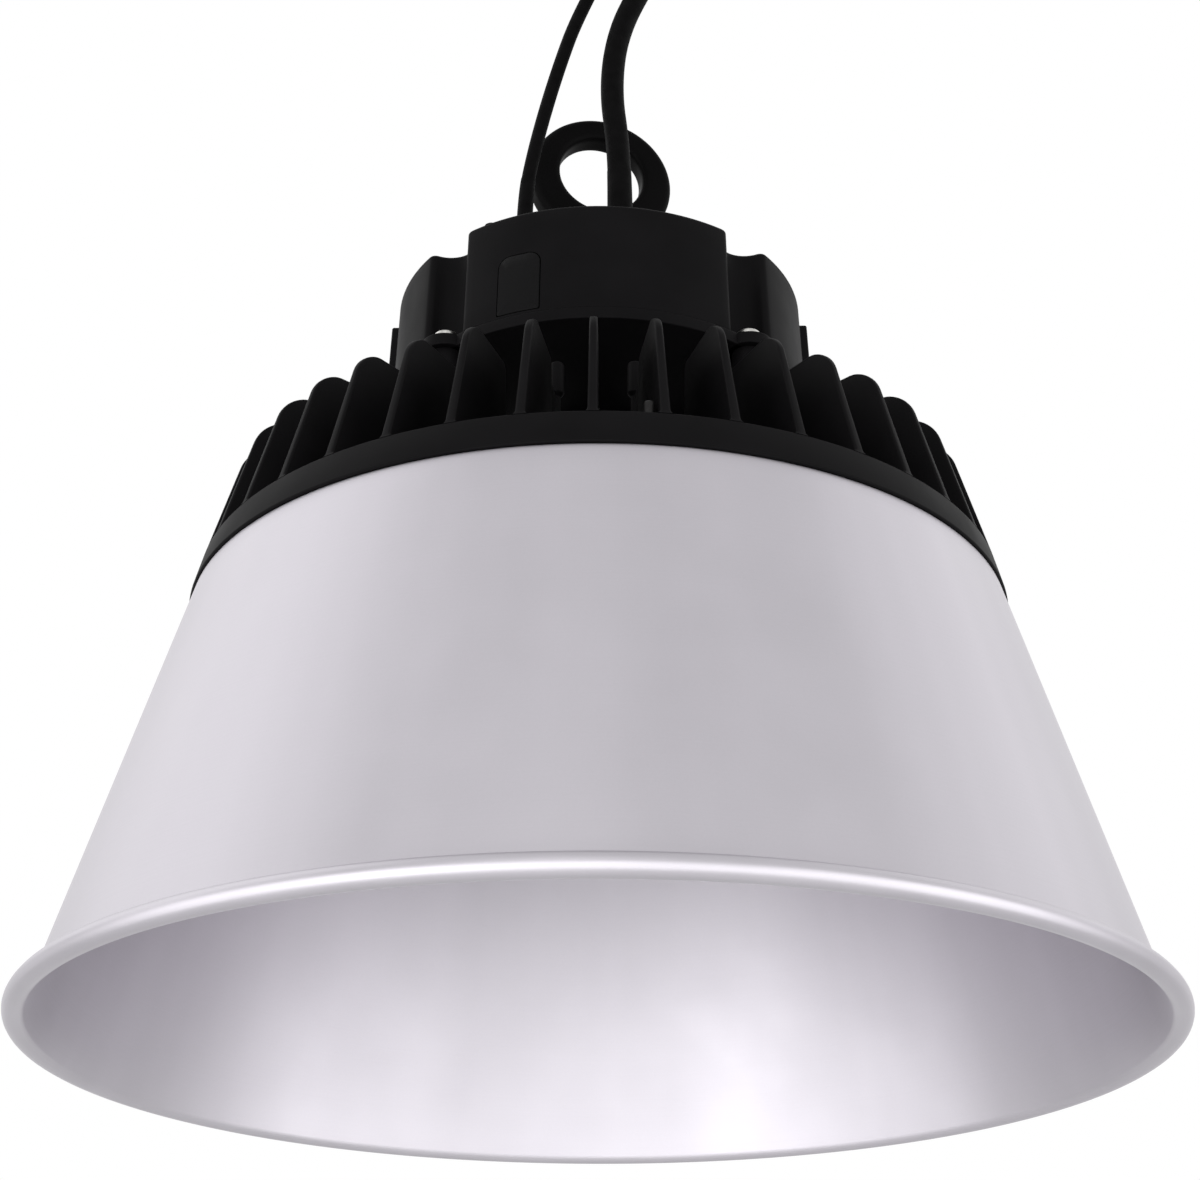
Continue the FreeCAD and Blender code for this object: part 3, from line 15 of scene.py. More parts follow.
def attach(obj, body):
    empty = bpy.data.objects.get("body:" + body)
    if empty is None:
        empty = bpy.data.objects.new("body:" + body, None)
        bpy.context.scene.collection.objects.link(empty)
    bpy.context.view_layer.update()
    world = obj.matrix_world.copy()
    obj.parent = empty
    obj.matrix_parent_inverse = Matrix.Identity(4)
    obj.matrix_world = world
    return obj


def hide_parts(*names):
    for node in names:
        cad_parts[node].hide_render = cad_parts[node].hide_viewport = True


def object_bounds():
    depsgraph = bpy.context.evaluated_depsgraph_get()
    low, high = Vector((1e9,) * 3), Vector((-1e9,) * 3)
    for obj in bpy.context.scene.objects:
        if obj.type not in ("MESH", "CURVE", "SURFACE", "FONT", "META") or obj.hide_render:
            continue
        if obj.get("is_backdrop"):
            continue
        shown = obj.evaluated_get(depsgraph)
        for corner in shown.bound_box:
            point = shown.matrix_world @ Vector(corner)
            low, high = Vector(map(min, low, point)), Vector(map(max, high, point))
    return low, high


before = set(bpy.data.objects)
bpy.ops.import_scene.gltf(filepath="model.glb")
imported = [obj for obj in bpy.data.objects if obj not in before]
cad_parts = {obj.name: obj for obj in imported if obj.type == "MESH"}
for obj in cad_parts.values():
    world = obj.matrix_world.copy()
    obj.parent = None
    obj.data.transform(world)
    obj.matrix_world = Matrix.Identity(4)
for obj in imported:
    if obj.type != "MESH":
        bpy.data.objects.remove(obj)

log = logging.getLogger("high_bay_light")

MM = 0.001
TURN = 2 * math.pi
SHARP_ANGLE = math.radians(40)
ROOT = "root"

# ---------------------------------------------------------------- levels and radii, in mm

RIM_RADIUS = 205.0
BEAD_RADIUS = 3.8
SHEET = 1.2
SEAT_LEVEL = 160.5
BELL_TOP_RADIUS = 154.6
BAND_RADIUS = 155.8
DECK_LEVEL = 173.7
DECK_RADIUS = 152.5
HUB_LEVEL = 180.0
FIN_LEVEL = 222.5
BASE_LEVEL = 253.0
HOUSING_LEVEL = 258.0
ROOF_LEVEL = 305.0
PLATE_LEVEL = 307.0
EYE_LEVEL = 376.0
LUG_CIRCLE = 81.5
LUG_AZIMUTH = math.radians(45)
LEAD_DEPTH = -52.0
POWER_SIDE = 8.9
DIMMING_SIDE = -28.9


# ---------------------------------------------------------------- meshes


Object = bpy.types.Object
Mesh = bpy.types.Mesh
Material = bpy.types.Material
Socket = bpy.types.NodeSocket
Row = list[Vector]
Corner = tuple[float, ...]
Colour = tuple[float, float, float]


def linked(name: str, data: bpy.types.ID) -> Object:
    """Put an object with this data in the scene.

    Args:
        name: the object's name.
        data: its mesh or curve.

    Returns:
        The new object.
    """
    thing = bpy.data.objects.new(name, data)
    bpy.context.scene.collection.objects.link(thing)
    return thing


def rounded(corners: Sequence[Corner], steps: int = 5) -> list[tuple[float, float]]:
    """Turn corners into a polyline whose rounded corners are arcs.

    Args:
        corners: (across, up) or (across, up, round), in mm.
        steps: how many parts each arc has.

    Returns:
        The points of the polyline, in mm.
    """
    spots: list[tuple[float, float]] = []
    for k, corner in enumerate(corners):
        here = Vector(corner[:2])
        radius = corner[2] if len(corner) > 2 else 0
        if radius == 0 or k in (0, len(corners) - 1):
            spots.append((here.x, here.y))
            continue
        back = (Vector(corners[k - 1][:2]) - here).normalized()
        on = (Vector(corners[k + 1][:2]) - here).normalized()
        half = back.angle(on) / 2
        reach = min(
            radius / math.tan(half),
            0.49 * (Vector(corners[k - 1][:2]) - here).length,
            0.49 * (Vector(corners[k + 1][:2]) - here).length,
        )
        centre = here + (back + on).normalized() * reach / math.cos(half)
        first, last = here + back * reach - centre, here + on * reach - centre
        sweep = first.angle_signed(last)
        for i in range(steps + 1):
            turned = Matrix.Rotation(-sweep * i / steps, 2) @ first
            spots.append((centre.x + turned.x, centre.y + turned.y))
    return spots


def mesh_of(shape: bmesh.types.BMesh, name: str) -> Mesh:
    """Turn a BMesh into a mesh with this name, and free it."""
    mesh = bpy.data.meshes.new(name)
    shape.to_mesh(mesh)
    shape.free()
    return mesh


def loft(name: str, rows: Sequence[Row], capped: bool = True, looped: bool = False) -> Mesh:
    """Skin closed rows of points, each anticlockwise about the way the rows run.

    Args:
        name: the mesh's name.
        rows: rows with the same number of points, in metres. A row whose points all meet is a pole.
        capped: whether the first and last rows are closed with a face.
        looped: whether the last row joins the first.

    Returns:
        A mesh whose faces point outwards.
    """
    shape = bmesh.new()
    grid = [[shape.verts.new(spot) for spot in row] for row in rows]
    pairs = list(zip(grid, grid[1:]))
    if looped:
        pairs.append((grid[-1], grid[0]))
    for low, high in pairs:
        for i in range(len(low)):
            j = (i + 1) % len(low)
            shape.faces.new((low[i], low[j], high[j], high[i]))
    if capped and not looped:
        shape.faces.new(list(reversed(grid[0])))
        shape.faces.new(grid[-1])
    bmesh.ops.remove_doubles(shape, verts=shape.verts, dist=1e-7)
    bmesh.ops.recalc_face_normals(shape, faces=shape.faces)
    return mesh_of(shape, name)


def evenly(start: float, end: float, parts: int) -> list[float]:
    """Values from start to end, both included, in even steps."""
    return [start + (end - start) * i / parts for i in range(parts + 1)]


def polar(radius: float, angle: float, level: float) -> Vector:
    """The point in metres at a radius and a level in mm."""
    return Vector((radius * MM * math.cos(angle), radius * MM * math.sin(angle), level * MM))


def turned_row(radius: float, level: float, segments: int) -> Row:
    """A level ring of points, from a radius and a level in mm."""
    return [polar(radius, TURN * i / segments, level) for i in range(segments)]


def slab_row(inner: float, outer: float, half: float, edge: float, level: float) -> Row:
    """One level section, with rounded corners, of a slab that points along +X.

    Args:
        inner: where it starts along +X, in mm.
        outer: where it ends along +X, in mm.
        half: half its thickness in mm.
        edge: the round of its corners in mm.
        level: the section's level in mm.

    Returns:
        The section's points, anticlockwise.
    """
    near, far, side = inner + edge, outer - edge, half - edge
    corners = (far, side), (near, side), (near, -side), (far, -side)
    return [
        Vector((across, along, level)) * MM + polar(edge, angle, 0)
        for k, (across, along) in enumerate(corners)
        for angle in evenly(TURN / 4 * k, TURN / 4 * (k + 1), 3)
    ]


def lathe(
    name: str, corners: Sequence[Corner], segments: int = 96, steps: int = 5, ring: bool = False
) -> Mesh:
    """Turn a profile about the upright axis.

    Args:
        name: the mesh's name.
        corners: (radius, level) or (radius, level, round), in mm, from the lowest end round the outside.
        segments: how many parts the ring has.
        steps: how many parts each rounded corner has.
        ring: whether the profile closes on itself, as a washer's does.

    Returns:
        The turned mesh.
    """
    if ring:
        first, last = Vector(corners[0][:2]), Vector(corners[-1][:2])
        middle = (first + last) / 2
        corners = [(middle.x, middle.y), *corners, (middle.x, middle.y)]
    rows = [turned_row(radius, level, segments) for radius, level in rounded(corners, steps)]
    if ring:
        rows.pop()
    return loft(name, rows, capped=not ring, looped=ring)


def merged(name: str, meshes: Sequence[Mesh]) -> Mesh:
    """Put several meshes in one.

    Args:
        name: the new mesh's name.
        meshes: the meshes, which are used up.

    Returns:
        The joined mesh.
    """
    shape = bmesh.new()
    for mesh in meshes:
        shape.from_mesh(mesh)
        bpy.data.meshes.remove(mesh)
    return mesh_of(shape, name)


def moved(mesh: Mesh, place: Matrix) -> Mesh:
    """Move a mesh's points by a matrix and return it, with its faces still outwards."""
    mesh.transform(place)
    if place.is_negative:
        mesh.flip_normals()
    return mesh


def at(across: float, along: float, up: float = 0.0) -> Matrix:
    """The matrix that moves a mesh by these millimetres."""
    return Matrix.Translation(Vector((across, along, up)) * MM)


def about_upright(angle: float) -> Matrix:
    """The matrix that turns a mesh about the upright axis, by an angle in radians."""
    return Matrix.Rotation(angle, 4, "Z")


def box(name: str, sides: Corner, centre: Corner, edge: float) -> Mesh:
    """Make a box with rounded edges.

    Args:
        name: the mesh's name.
        sides: its three sides in mm.
        centre: its middle in mm.
        edge: the round of its edges in mm.

    Returns:
        The box.
    """
    shape = bmesh.new()
    bmesh.ops.create_cube(shape, size=1, matrix=at(*centre) @ Matrix.Diagonal((*(Vector(sides) * MM), 1)))
    return softened(mesh_of(shape, name), edge)


def softened(mesh: Mesh, width: float) -> Mesh:
    """Round a mesh's sharp edges with a Bevel modifier.

    Args:
        mesh: the mesh, which is used up.
        width: the round's width in mm.

    Returns:
        The mesh with its edges rounded.
    """
    carrier = linked(f"{mesh.name}_carrier", mesh)
    bevel = carrier.modifiers.new("edges", "BEVEL")
    bevel.width = width * MM
    bevel.segments = 2
    bevel.limit_method = "ANGLE"
    bevel.angle_limit = SHARP_ANGLE
    return taken_from(carrier)


def taken_from(carrier: Object) -> Mesh:
    """Make a plain mesh of what an object's modifiers give, and remove the object.

    Args:
        carrier: an object that holds a mesh and its modifiers.

    Returns:
        The resulting mesh.
    """
    name = carrier.data.name
    graph = bpy.context.evaluated_depsgraph_get()
    result = bpy.data.meshes.new_from_object(carrier.evaluated_get(graph))
    source = carrier.data
    carrier.modifiers.clear()
    bpy.data.objects.remove(carrier)
    if source.users == 0:
        bpy.data.meshes.remove(source)
    result.name = name
    return result


# ---------------------------------------------------------------- geometry nodes


def feed(tree: bpy.types.NodeTree, node: bpy.types.Node, *values: Socket | float) -> Socket:
    """Feed a node's first inputs and return its first output.

    Args:
        tree: the tree that holds the node.
        node: the node.
        values: a socket or a number for each input in turn.

    Returns:
        The node's first output.
    """
    for socket, value in zip(node.inputs, values):
        if isinstance(value, Socket):
            tree.links.new(value, socket)
        else:
            socket.default_value = value
    return node.outputs[0]


def maths(tree: bpy.types.NodeTree, operation: str, *values: Socket | float) -> Socket:
    """Add a Math node, fed with these sockets or numbers, and return its output."""
    added = tree.nodes.new("ShaderNodeMath")
    added.operation = operation
    return feed(tree, added, *values)


class RingTree:
    """The Geometry Nodes tree that repeats a mesh round the upright axis."""

    NAME = "ring_of_pieces"

    @classmethod
    def group(cls) -> bpy.types.NodeTree:
        """Build the tree, or return it if it is there already."""
        if cls.NAME in bpy.data.node_groups:
            return bpy.data.node_groups[cls.NAME]
        tree = bpy.data.node_groups.new(cls.NAME, "GeometryNodeTree")
        face = tree.interface
        for label, kind in (
            ("Piece", "NodeSocketGeometry"),
            ("Count", "NodeSocketInt"),
            ("Radius", "NodeSocketFloat"),
            ("Level", "NodeSocketFloat"),
            ("First angle", "NodeSocketFloat"),
            ("Finish", "NodeSocketMaterial"),
        ):
            face.new_socket(label, in_out="INPUT", socket_type=kind)
        face.new_socket("Geometry", in_out="OUTPUT", socket_type="NodeSocketGeometry")
        given = tree.nodes.new("NodeGroupInput").outputs
        share = maths(tree, "DIVIDE", tree.nodes.new("GeometryNodeInputIndex").outputs[0], given["Count"])
        angle = maths(tree, "ADD", maths(tree, "MULTIPLY", share, TURN), given["First angle"])
        across = maths(tree, "MULTIPLY", maths(tree, "COSINE", angle), given["Radius"])
        along = maths(tree, "MULTIPLY", maths(tree, "SINE", angle), given["Radius"])

        def add(kind: str, **inputs: Socket) -> Socket | None:
            """Add a node, link its named inputs and return its first output, if it has one."""
            node = tree.nodes.new(kind)
            for name, source in inputs.items():
                tree.links.new(source, node.inputs[name])
            return next(iter(node.outputs), None)

        place = add("ShaderNodeCombineXYZ", X=across, Y=along, Z=given["Level"])
        spots = add("GeometryNodePoints", Count=given["Count"], Position=place)
        facing = add("FunctionNodeEulerToRotation", Euler=add("ShaderNodeCombineXYZ", Z=angle))
        copies = add("GeometryNodeInstanceOnPoints", Points=spots, Instance=given["Piece"], Rotation=facing)
        real = add("GeometryNodeRealizeInstances", Geometry=copies)
        dressed = add("GeometryNodeSetMaterial", Geometry=real, Material=given["Finish"])
        add("NodeGroupOutput", Geometry=dressed)
        return tree

    @classmethod
    def grow(
        cls,
        mesh: Mesh,
        count: int,
        radius: float,
        level: float,
        first_angle: float,
        material: Material,
    ) -> Mesh:
        """Repeat a mesh on a ring.

        Args:
            mesh: one piece, which is used up. Its own +X points outwards.
            count: how many pieces the ring has.
            radius: the ring's radius in mm.
            level: its level in mm.
            first_angle: the first piece's angle from +X, in radians.
            material: what the pieces are made of.

        Returns:
            The pieces as one mesh.
        """
        carrier = linked(f"{mesh.name}_carrier", mesh)
        ring = carrier.modifiers.new("ring", "NODES")
        ring.node_group = cls.group()
        values = {
            "Count": count,
            "Radius": radius * MM,
            "Level": level * MM,
            "First angle": first_angle,
            "Finish": material,
        }
        for item in ring.node_group.interface.items_tree:
            if item.in_out == "INPUT" and item.name in values:
                ring[item.identifier] = values[item.name]
        return taken_from(carrier)


# ---------------------------------------------------------------- finishes


class Graph:
    """A material's node tree while it is being made."""

    def __init__(self, name: str) -> None:
        """Start a material with a shader and an output."""
        self.material = bpy.data.materials.new(name)
        self.material.use_nodes = True
        self.tree = self.material.node_tree
        self.shader = self.tree.nodes["Principled BSDF"]
        self.spot = self.add("ShaderNodeTexCoord").outputs["Object"]

    def add(self, kind: str, **settings: object) -> bpy.types.Node:
        """Add a node.

        Args:
            kind: the node's type.
            settings: its properties.

        Returns:
            The node.
        """
        node = self.tree.nodes.new(kind)
        for name, value in settings.items():
            setattr(node, name, value)
        return node

    def join(self, source: Socket, target: Socket) -> None:
        """Link two sockets."""
        self.tree.links.new(source, target)

    def maths(self, operation: str, *values: Socket | float) -> Socket:
        """Add a Math node and return its output."""
        return maths(self.tree, operation, *values)

    def vector(self, *values: Socket | float) -> Socket:
        """Combine three sockets or numbers into a vector."""
        return feed(self.tree, self.add("ShaderNodeCombineXYZ"), *values)

    def noise(
        self, scale: float, detail: float = 2, spot: Socket | None = None
    ) -> Socket:
        """Add a noise.

        Args:
            scale: how many features it has in a metre.
            detail: how many finer layers it has.
            spot: its coordinates, or None for the object's own.

        Returns:
            The noise's value.
        """
        node = self.add("ShaderNodeTexNoise")
        node.inputs["Scale"].default_value = scale
        node.inputs["Detail"].default_value = detail
        self.join(self.spot if spot is None else spot, node.inputs["Vector"])
        return node.outputs["Fac"]

    def spread(self, value: Socket, low: float, high: float) -> Socket:
        """Map the middle part of a noise to low..high, and return the result."""
        node = self.add("ShaderNodeMapRange")
        self.join(value, node.inputs["Value"])
        for name, number in (("From Min", 0.3), ("From Max", 0.7), ("To Min", low), ("To Max", high)):
            node.inputs[name].default_value = number
        return node.outputs[0]

    def mix(self, *layers: tuple[Socket, float]) -> Socket:
        """Add up values by their weights.

        Args:
            layers: each a value and its weight.

        Returns:
            The weighted sum.
        """
        parts = [self.maths("MULTIPLY", value, weight) for value, weight in layers]
        total = parts[0]
        for part in parts[1:]:
            total = self.maths("ADD", total, part)
        return total

    def blend(
        self, share: Socket, first: Sequence[float], second: Sequence[float]
    ) -> Socket:
        """Mix two colours by a share and return the mix."""
        node = self.add("ShaderNodeMix", data_type="RGBA")
        self.join(share, node.inputs["Factor"])
        colours = [socket for socket in node.inputs if socket.type == "RGBA"]
        colours[0].default_value = (*first, 1)
        colours[1].default_value = (*second, 1)
        return next(socket for socket in node.outputs if socket.type == "RGBA")

    def relief(self, *layers: tuple[Socket, float]) -> None:
        """Give the shader a bump.

        Args:
            layers: each a height and its depth in mm.
        """
        before = None
        for height, depth in layers:
            node = self.add("ShaderNodeBump")
            node.inputs["Strength"].default_value = 1
            node.inputs["Distance"].default_value = depth * MM
            self.join(height, node.inputs["Height"])
            if before is not None:
                self.join(before, node.inputs["Normal"])
            before = node.outputs[0]
        self.join(before, self.shader.inputs["Normal"])

    def set(self, **values: float | Sequence[float]) -> None:
        """Set the shader's own sockets, with _ for a space in a name."""
        for name, value in values.items():
            self.shader.inputs[name.replace("_", " ")].default_value = value


@dataclass(frozen=True)
class Finish:
    """A finish with a name and a colour."""

    name: str
    colour: Colour

    def material(self) -> Material:
        """The finish's material, made once."""
        label = f"{self.name}_finish"
        if label not in bpy.data.materials:
            self.paint(Graph(label))
        return bpy.data.materials[label]

    def paint(self, graph: Graph) -> None:
        """Lay the finish's nodes into a graph."""
        raise NotImplementedError

    def cover(self, graph: Graph, tone: Socket, spread: float, grain: Socket, *rough: float) -> None:
        """Give the shader a colour and a roughness that vary.

        Args:
            graph: the material's graph.
            tone: what the colour varies with.
            spread: how far it varies, as a share.
            grain: what the roughness varies with.
            rough: the roughness at the grain's low and high end.
        """
        dark = [c * (1 - spread) for c in self.colour]
        light = [min(1.0, c * (1 + spread)) for c in self.colour]
        graph.join(graph.blend(graph.spread(tone, 0, 1), dark, light), graph.shader.inputs["Base Color"])
        graph.join(graph.spread(grain, *rough), graph.shader.inputs["Roughness"])


@dataclass(frozen=True)
class SpunMetal(Finish):
    """Bare sheet spun on a lathe: rings from the tool, soft painted highlight bands along the wall and a fine
    grain.
    """

    roughness: float = 0.42
    ring_pitch: float = 0.7

    def paint(self, graph: Graph) -> None:
        """Lay the finish's nodes into a graph."""
        parts = graph.add("ShaderNodeSeparateXYZ")
        graph.join(graph.spot, parts.inputs[0])
        across, along, up = parts.outputs
        angle = graph.maths("ARCTAN2", along, across)
        rings = graph.noise(1 / (self.ring_pitch * MM), 3, graph.vector(0.0, 0.0, up))
        # Painted highlight bands: bright and dark bands round the bell, painted into the colour from a noise
        # of the angle.
        highlight_bands = graph.noise(5, 2, graph.vector(graph.maths("COSINE", angle), graph.maths("SINE", angle), 0.0))
        grain = graph.noise(1400, 2)
        mottle = graph.noise(28, 3)
        # The colour's tone mixes the painted highlight bands with random mottle and grain.
        tone = graph.mix((highlight_bands, 0.55), (mottle, 0.25), (grain, 0.2))
        marks = graph.mix((rings, 0.5), (mottle, 0.5))
        self.cover(graph, tone, 0.045, marks, self.roughness - 0.05, self.roughness + 0.06)
        graph.set(Metallic=1.0)
        graph.relief((rings, 0.012), (grain, 0.006))


@dataclass(frozen=True)
class PowderCoat(Finish):
    """A powder coat over cast or forged metal, with a fine orange peel."""

    roughness: float = 0.5
    peel: float = 1.1
    depth: float = 0.02
    gleam: float = 0.12

    def paint(self, graph: Graph) -> None:
        """Lay the finish's nodes into a graph."""
        cloud = graph.noise(35, 3)
        peel = graph.noise(1 / (self.peel * MM), 2)
        self.cover(graph, cloud, 0.2, cloud, self.roughness - 0.05, self.roughness + 0.05)
        graph.set(Specular_IOR_Level=self.gleam)
        graph.relief((peel, self.depth))


@dataclass(frozen=True)
class PlatedSteel(Finish):
    """Zinc-plated or milled metal with a faint mottle."""

    roughness: float = 0.3

    def paint(self, graph: Graph) -> None:
        """Lay the finish's nodes into a graph."""
        mottle = graph.noise(400, 3)
        scratch = graph.noise(2600, 2)
        self.cover(graph, mottle, 0.1, scratch, self.roughness - 0.06, self.roughness + 0.1)
        graph.set(Metallic=1.0)
        graph.relief((scratch, 0.004))


@dataclass(frozen=True)
class Moulded(Finish):
    """A moulded plastic with a fine spark-eroded skin."""

    roughness: float = 0.5
    skin: float = 0.5
    depth: float = 0.01
    gleam: float = 0.4

    def paint(self, graph: Graph) -> None:
        """Lay the finish's nodes into a graph."""
        flow = graph.noise(60, 2)
        skin = graph.noise(1 / (self.skin * MM), 2)
        self.cover(graph, flow, 0.08, skin, self.roughness - 0.05, self.roughness + 0.06)
        graph.set(Specular_IOR_Level=self.gleam)
        graph.relief((skin, self.depth))


@dataclass(frozen=True)
class Jacket(Finish):
    """The extruded rubber jacket of a lead: satin, with talc dust in its skin."""

    roughness: float = 0.55
    gleam: float = 0.2

    def paint(self, graph: Graph) -> None:
        """Lay the finish's nodes into a graph."""
        dust = graph.noise(220, 4)
        skin = graph.noise(1800, 2)
        self.cover(graph, dust, 0.25, dust, self.roughness + 0.08, self.roughness - 0.05)
        graph.set(Specular_IOR_Level=self.gleam)
        graph.relief((skin, 0.008))


class Finishes(Enum):
    """Every finish on the light."""

    SPUN = SpunMetal("spun_aluminium", (0.455, 0.437, 0.47))
    CASTING = PowderCoat("black_powder_coat", (0.0032, 0.0030, 0.0033), gleam=0.032)
    FORGING = PowderCoat(
        "black_forging_coat", (0.0022, 0.0021, 0.0022), roughness=0.42, peel=1.8, depth=0.03, gleam=0.018
    )
    BRIGHT = PlatedSteel("zinc_plate", (0.5, 0.49, 0.47))
    DULL = PlatedSteel("dull_zinc", (0.02, 0.0195, 0.0195), roughness=0.5)
    MILLED = PlatedSteel("milled_aluminium", (0.56, 0.56, 0.57), roughness=0.38)
    OPAL = Moulded("opal_cover", (0.78, 0.79, 0.78), roughness=0.38, skin=1.5, depth=0.02)
    BOARD = Moulded("white_solder_mask", (0.75, 0.75, 0.72), roughness=0.45)
    PHOSPHOR = Moulded("phosphor", (0.78, 0.55, 0.08), roughness=0.3, skin=0.2)
    PAD = Moulded("thermal_pad_grey", (0.17, 0.18, 0.19), roughness=0.8, skin=2.0)
    SEAL = Jacket("seal_rubber", (0.012, 0.012, 0.012), roughness=0.7)
    NYLON = Moulded("black_nylon", (0.006, 0.006, 0.0063), roughness=0.48, gleam=0.15)
    COVER = Moulded("cover_plastic", (0.0030, 0.0029, 0.0031), roughness=0.5, gleam=0.045)
    JACKET = Jacket("lead_jacket", (0.0018, 0.0017, 0.0018), gleam=0.022)
    WIRE = Moulded("wire_insulation", (0.42, 0.02, 0.015), roughness=0.35)
    CIRCUIT = Moulded("green_solder_mask", (0.01, 0.09, 0.03), roughness=0.3, skin=3.0)
    FERRITE = Moulded("varnished_ferrite", (0.02, 0.018, 0.018), roughness=0.45, skin=0.8)
    TAPE = Moulded("winding_tape", (0.6, 0.4, 0.03), roughness=0.4, skin=2.5)
    SLEEVE = Moulded("capacitor_sleeve", (0.01, 0.014, 0.06), roughness=0.3)
    TERMINAL = Moulded("terminal_housing", (0.01, 0.14, 0.05), roughness=0.4)

    def material(self) -> Material:
        """The material of this finish."""
        return self.value.material()


def add_piece(
    name: str,
    mesh: Mesh,
    finish: Finishes,
    nodes: Sequence[str],
    sharp: float = 32,
) -> Object:
    """Make a finished piece of a mesh.

    Args:
        name: the piece's name.
        mesh: its mesh, in place, in metres.
        finish: what it is made of.
        nodes: the CAD nodes it stands for.
        sharp: the angle in degrees past which an edge isn't shaded smooth.

    Returns:
        The piece's object.
    """
    mesh.name = name
    mesh.materials.clear()
    mesh.materials.append(finish.material())
    for face in mesh.polygons:
        face.material_index = 0
    mesh.shade_smooth()
    mesh.set_sharp_from_angle(angle=math.radians(sharp))
    thing = linked(name, mesh)
    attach(thing, ROOT)
    if nodes:
        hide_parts(*nodes)
    log.info("%s: %d faces", name, len(mesh.polygons))
    return thing


# ---------------------------------------------------------------- fasteners


class Drive(Enum):
    """The recess in a screw's head."""

    HEXAGON = 6
    CROSS = 4

    def radius(self, angle: float, size: float) -> float:
        """The recess's radius at an angle, from its nominal size."""
        part = TURN / self.value
        off = (angle + part / 2) % part - part / 2
        if self is Drive.HEXAGON:
            return size / math.cos(off)
        half = size * 0.34
        wing = half / max(abs(math.sin(off)), 1e-6)
        return min(size * 1.25, wing)


@dataclass
class Screw:
    """A pan-head screw. Sizes are in mm, and its seat is at its own origin."""

    thread: float
    length: float
    drive: Drive = Drive.HEXAGON
    head_factor: float = 1.85
    height_factor: float = 1.3
    segments: int = 24

    def mesh(self, down: bool = False) -> Mesh:
        """Build one screw.

        Args:
            down: whether the head hangs below the seat.

        Returns:
            The screw's mesh.
        """
        head, tall = self.thread * self.head_factor, self.thread * self.height_factor
        profile = rounded(
            [
                (0, -self.length),
                (self.thread * 0.8, -self.length),
                (self.thread, -self.length + self.thread * 0.3),
                (self.thread, 0),
                (head, 0),
                (head, tall, tall * 0.45),
                (self.thread * 1.05, tall),
            ],
            4,
        )
        rows = [turned_row(radius, level, self.segments) for radius, level in profile]
        turns = [TURN * i / self.segments for i in range(self.segments)]
        for level in (tall, tall * 0.35):
            rows.append([polar(self.drive.radius(turn, self.thread * 0.72), turn, level) for turn in turns])
        rows.append(turned_row(0, tall * 0.25, self.segments))
        mesh = loft("screw", rows, capped=False)
        return moved(mesh, Matrix.Scale(-1, 4, (0, 0, 1))) if down else mesh


def hexagon_nut(flats: float, height: float) -> Mesh:
    """A chamfered hexagon nut.

    Args:
        flats: its width across the flats, in mm.
        height: its height in mm.

    Returns:
        The nut, standing on its own origin.
    """
    segments, chamfer, corner = 72, flats * 0.03, flats / 2 / math.cos(TURN / 12)
    turns = [TURN * i / segments for i in range(segments)]

    def row(level: float, cap: float) -> Row:
        """The hexagon's outline at a level, cut off at a radius."""
        return [polar(min(Drive.HEXAGON.radius(turn, flats / 2), cap), turn, level) for turn in turns]

    rows = [
        turned_row(flats * 0.3, 0, segments),
        row(0, flats * 0.48),
        row(chamfer * 0.5, corner - chamfer),
        row(chamfer * 1.4, corner),
        row(height - chamfer * 1.4, corner),
        row(height - chamfer * 0.5, corner - chamfer),
        row(height, flats * 0.48),
        turned_row(flats * 0.3, height, segments),
    ]
    return loft("nut", rows)


# ---------------------------------------------------------------- reflector


@dataclass
class Reflector:
    """The spun bell with its rolled rim, and the screws that hold it."""

    segments: int = 256
    curl_end: float = math.radians(140)
    shoulder: float = 0.8
    screw_count: int = 5
    screw_circle: float = 147.0
    screw_angle: float = math.radians(-10.8)
    flange: float = 13.6
    row_spacing: float = 12.0

    def profile(self) -> list[Corner]:
        """The sheet's section, as a closed loop of (radius, level) in mm."""
        centre = Vector((RIM_RADIUS - BEAD_RADIUS, BEAD_RADIUS))
        hollow = BEAD_RADIUS - SHEET
        run, rise = centre.x - BELL_TOP_RADIUS, SEAT_LEVEL - BEAD_RADIUS
        lean = math.atan2(run, rise) - math.asin(hollow / math.hypot(run, rise))
        wall = lean + math.pi

        def curl(radius: float, start: float, end: float, steps: int) -> list[Corner]:
            """An arc about the bead's middle."""
            turns = evenly(start, end, steps)
            return [tuple(centre + Vector((math.cos(turn), math.sin(turn))) * radius) for turn in turns]

        inner = BELL_TOP_RADIUS + SHEET * math.tan(lean) - SHEET / math.cos(lean)
        flange = BELL_TOP_RADIUS - self.flange
        outside = curl(BEAD_RADIUS, wall, self.curl_end + TURN, 22)
        inside = curl(hollow, self.curl_end + TURN, wall, 16)
        corner = (BELL_TOP_RADIUS, SEAT_LEVEL, self.shoulder)
        shoulder = rounded([inside[-1], corner, (flange, SEAT_LEVEL)], 6)
        under = SEAT_LEVEL - SHEET
        return [*outside, *inside[:-1], *shoulder, (flange, under), (inner, under)]

    def build(self) -> None:
        """Make the bell and its screws."""
        rows = []
        loop = self.profile()
        for (radius, level), (far, high) in zip(loop, loop[1:] + loop[:1]):
            parts = max(1, round(math.hypot(far - radius, high - level) / self.row_spacing))
            for i in range(parts):
                share = i / parts
                rows.append(
                    turned_row(radius + (far - radius) * share, level + (high - level) * share, self.segments)
                )
        bell = loft("bell", rows, looped=True)
        add_piece("reflector_bell", bell, Finishes.SPUN, ["reflector"], sharp=28)
        screws = RingTree.grow(
            Screw(thread=2.0, length=21.0, drive=Drive.CROSS).mesh(down=True),
            self.screw_count,
            self.screw_circle,
            SEAT_LEVEL - SHEET,
            self.screw_angle,
            Finishes.DULL.material(),
        )
        add_piece("bell_screws", screws, Finishes.DULL, ["reflector_screws"])


# ---------------------------------------------------------------- heat sink


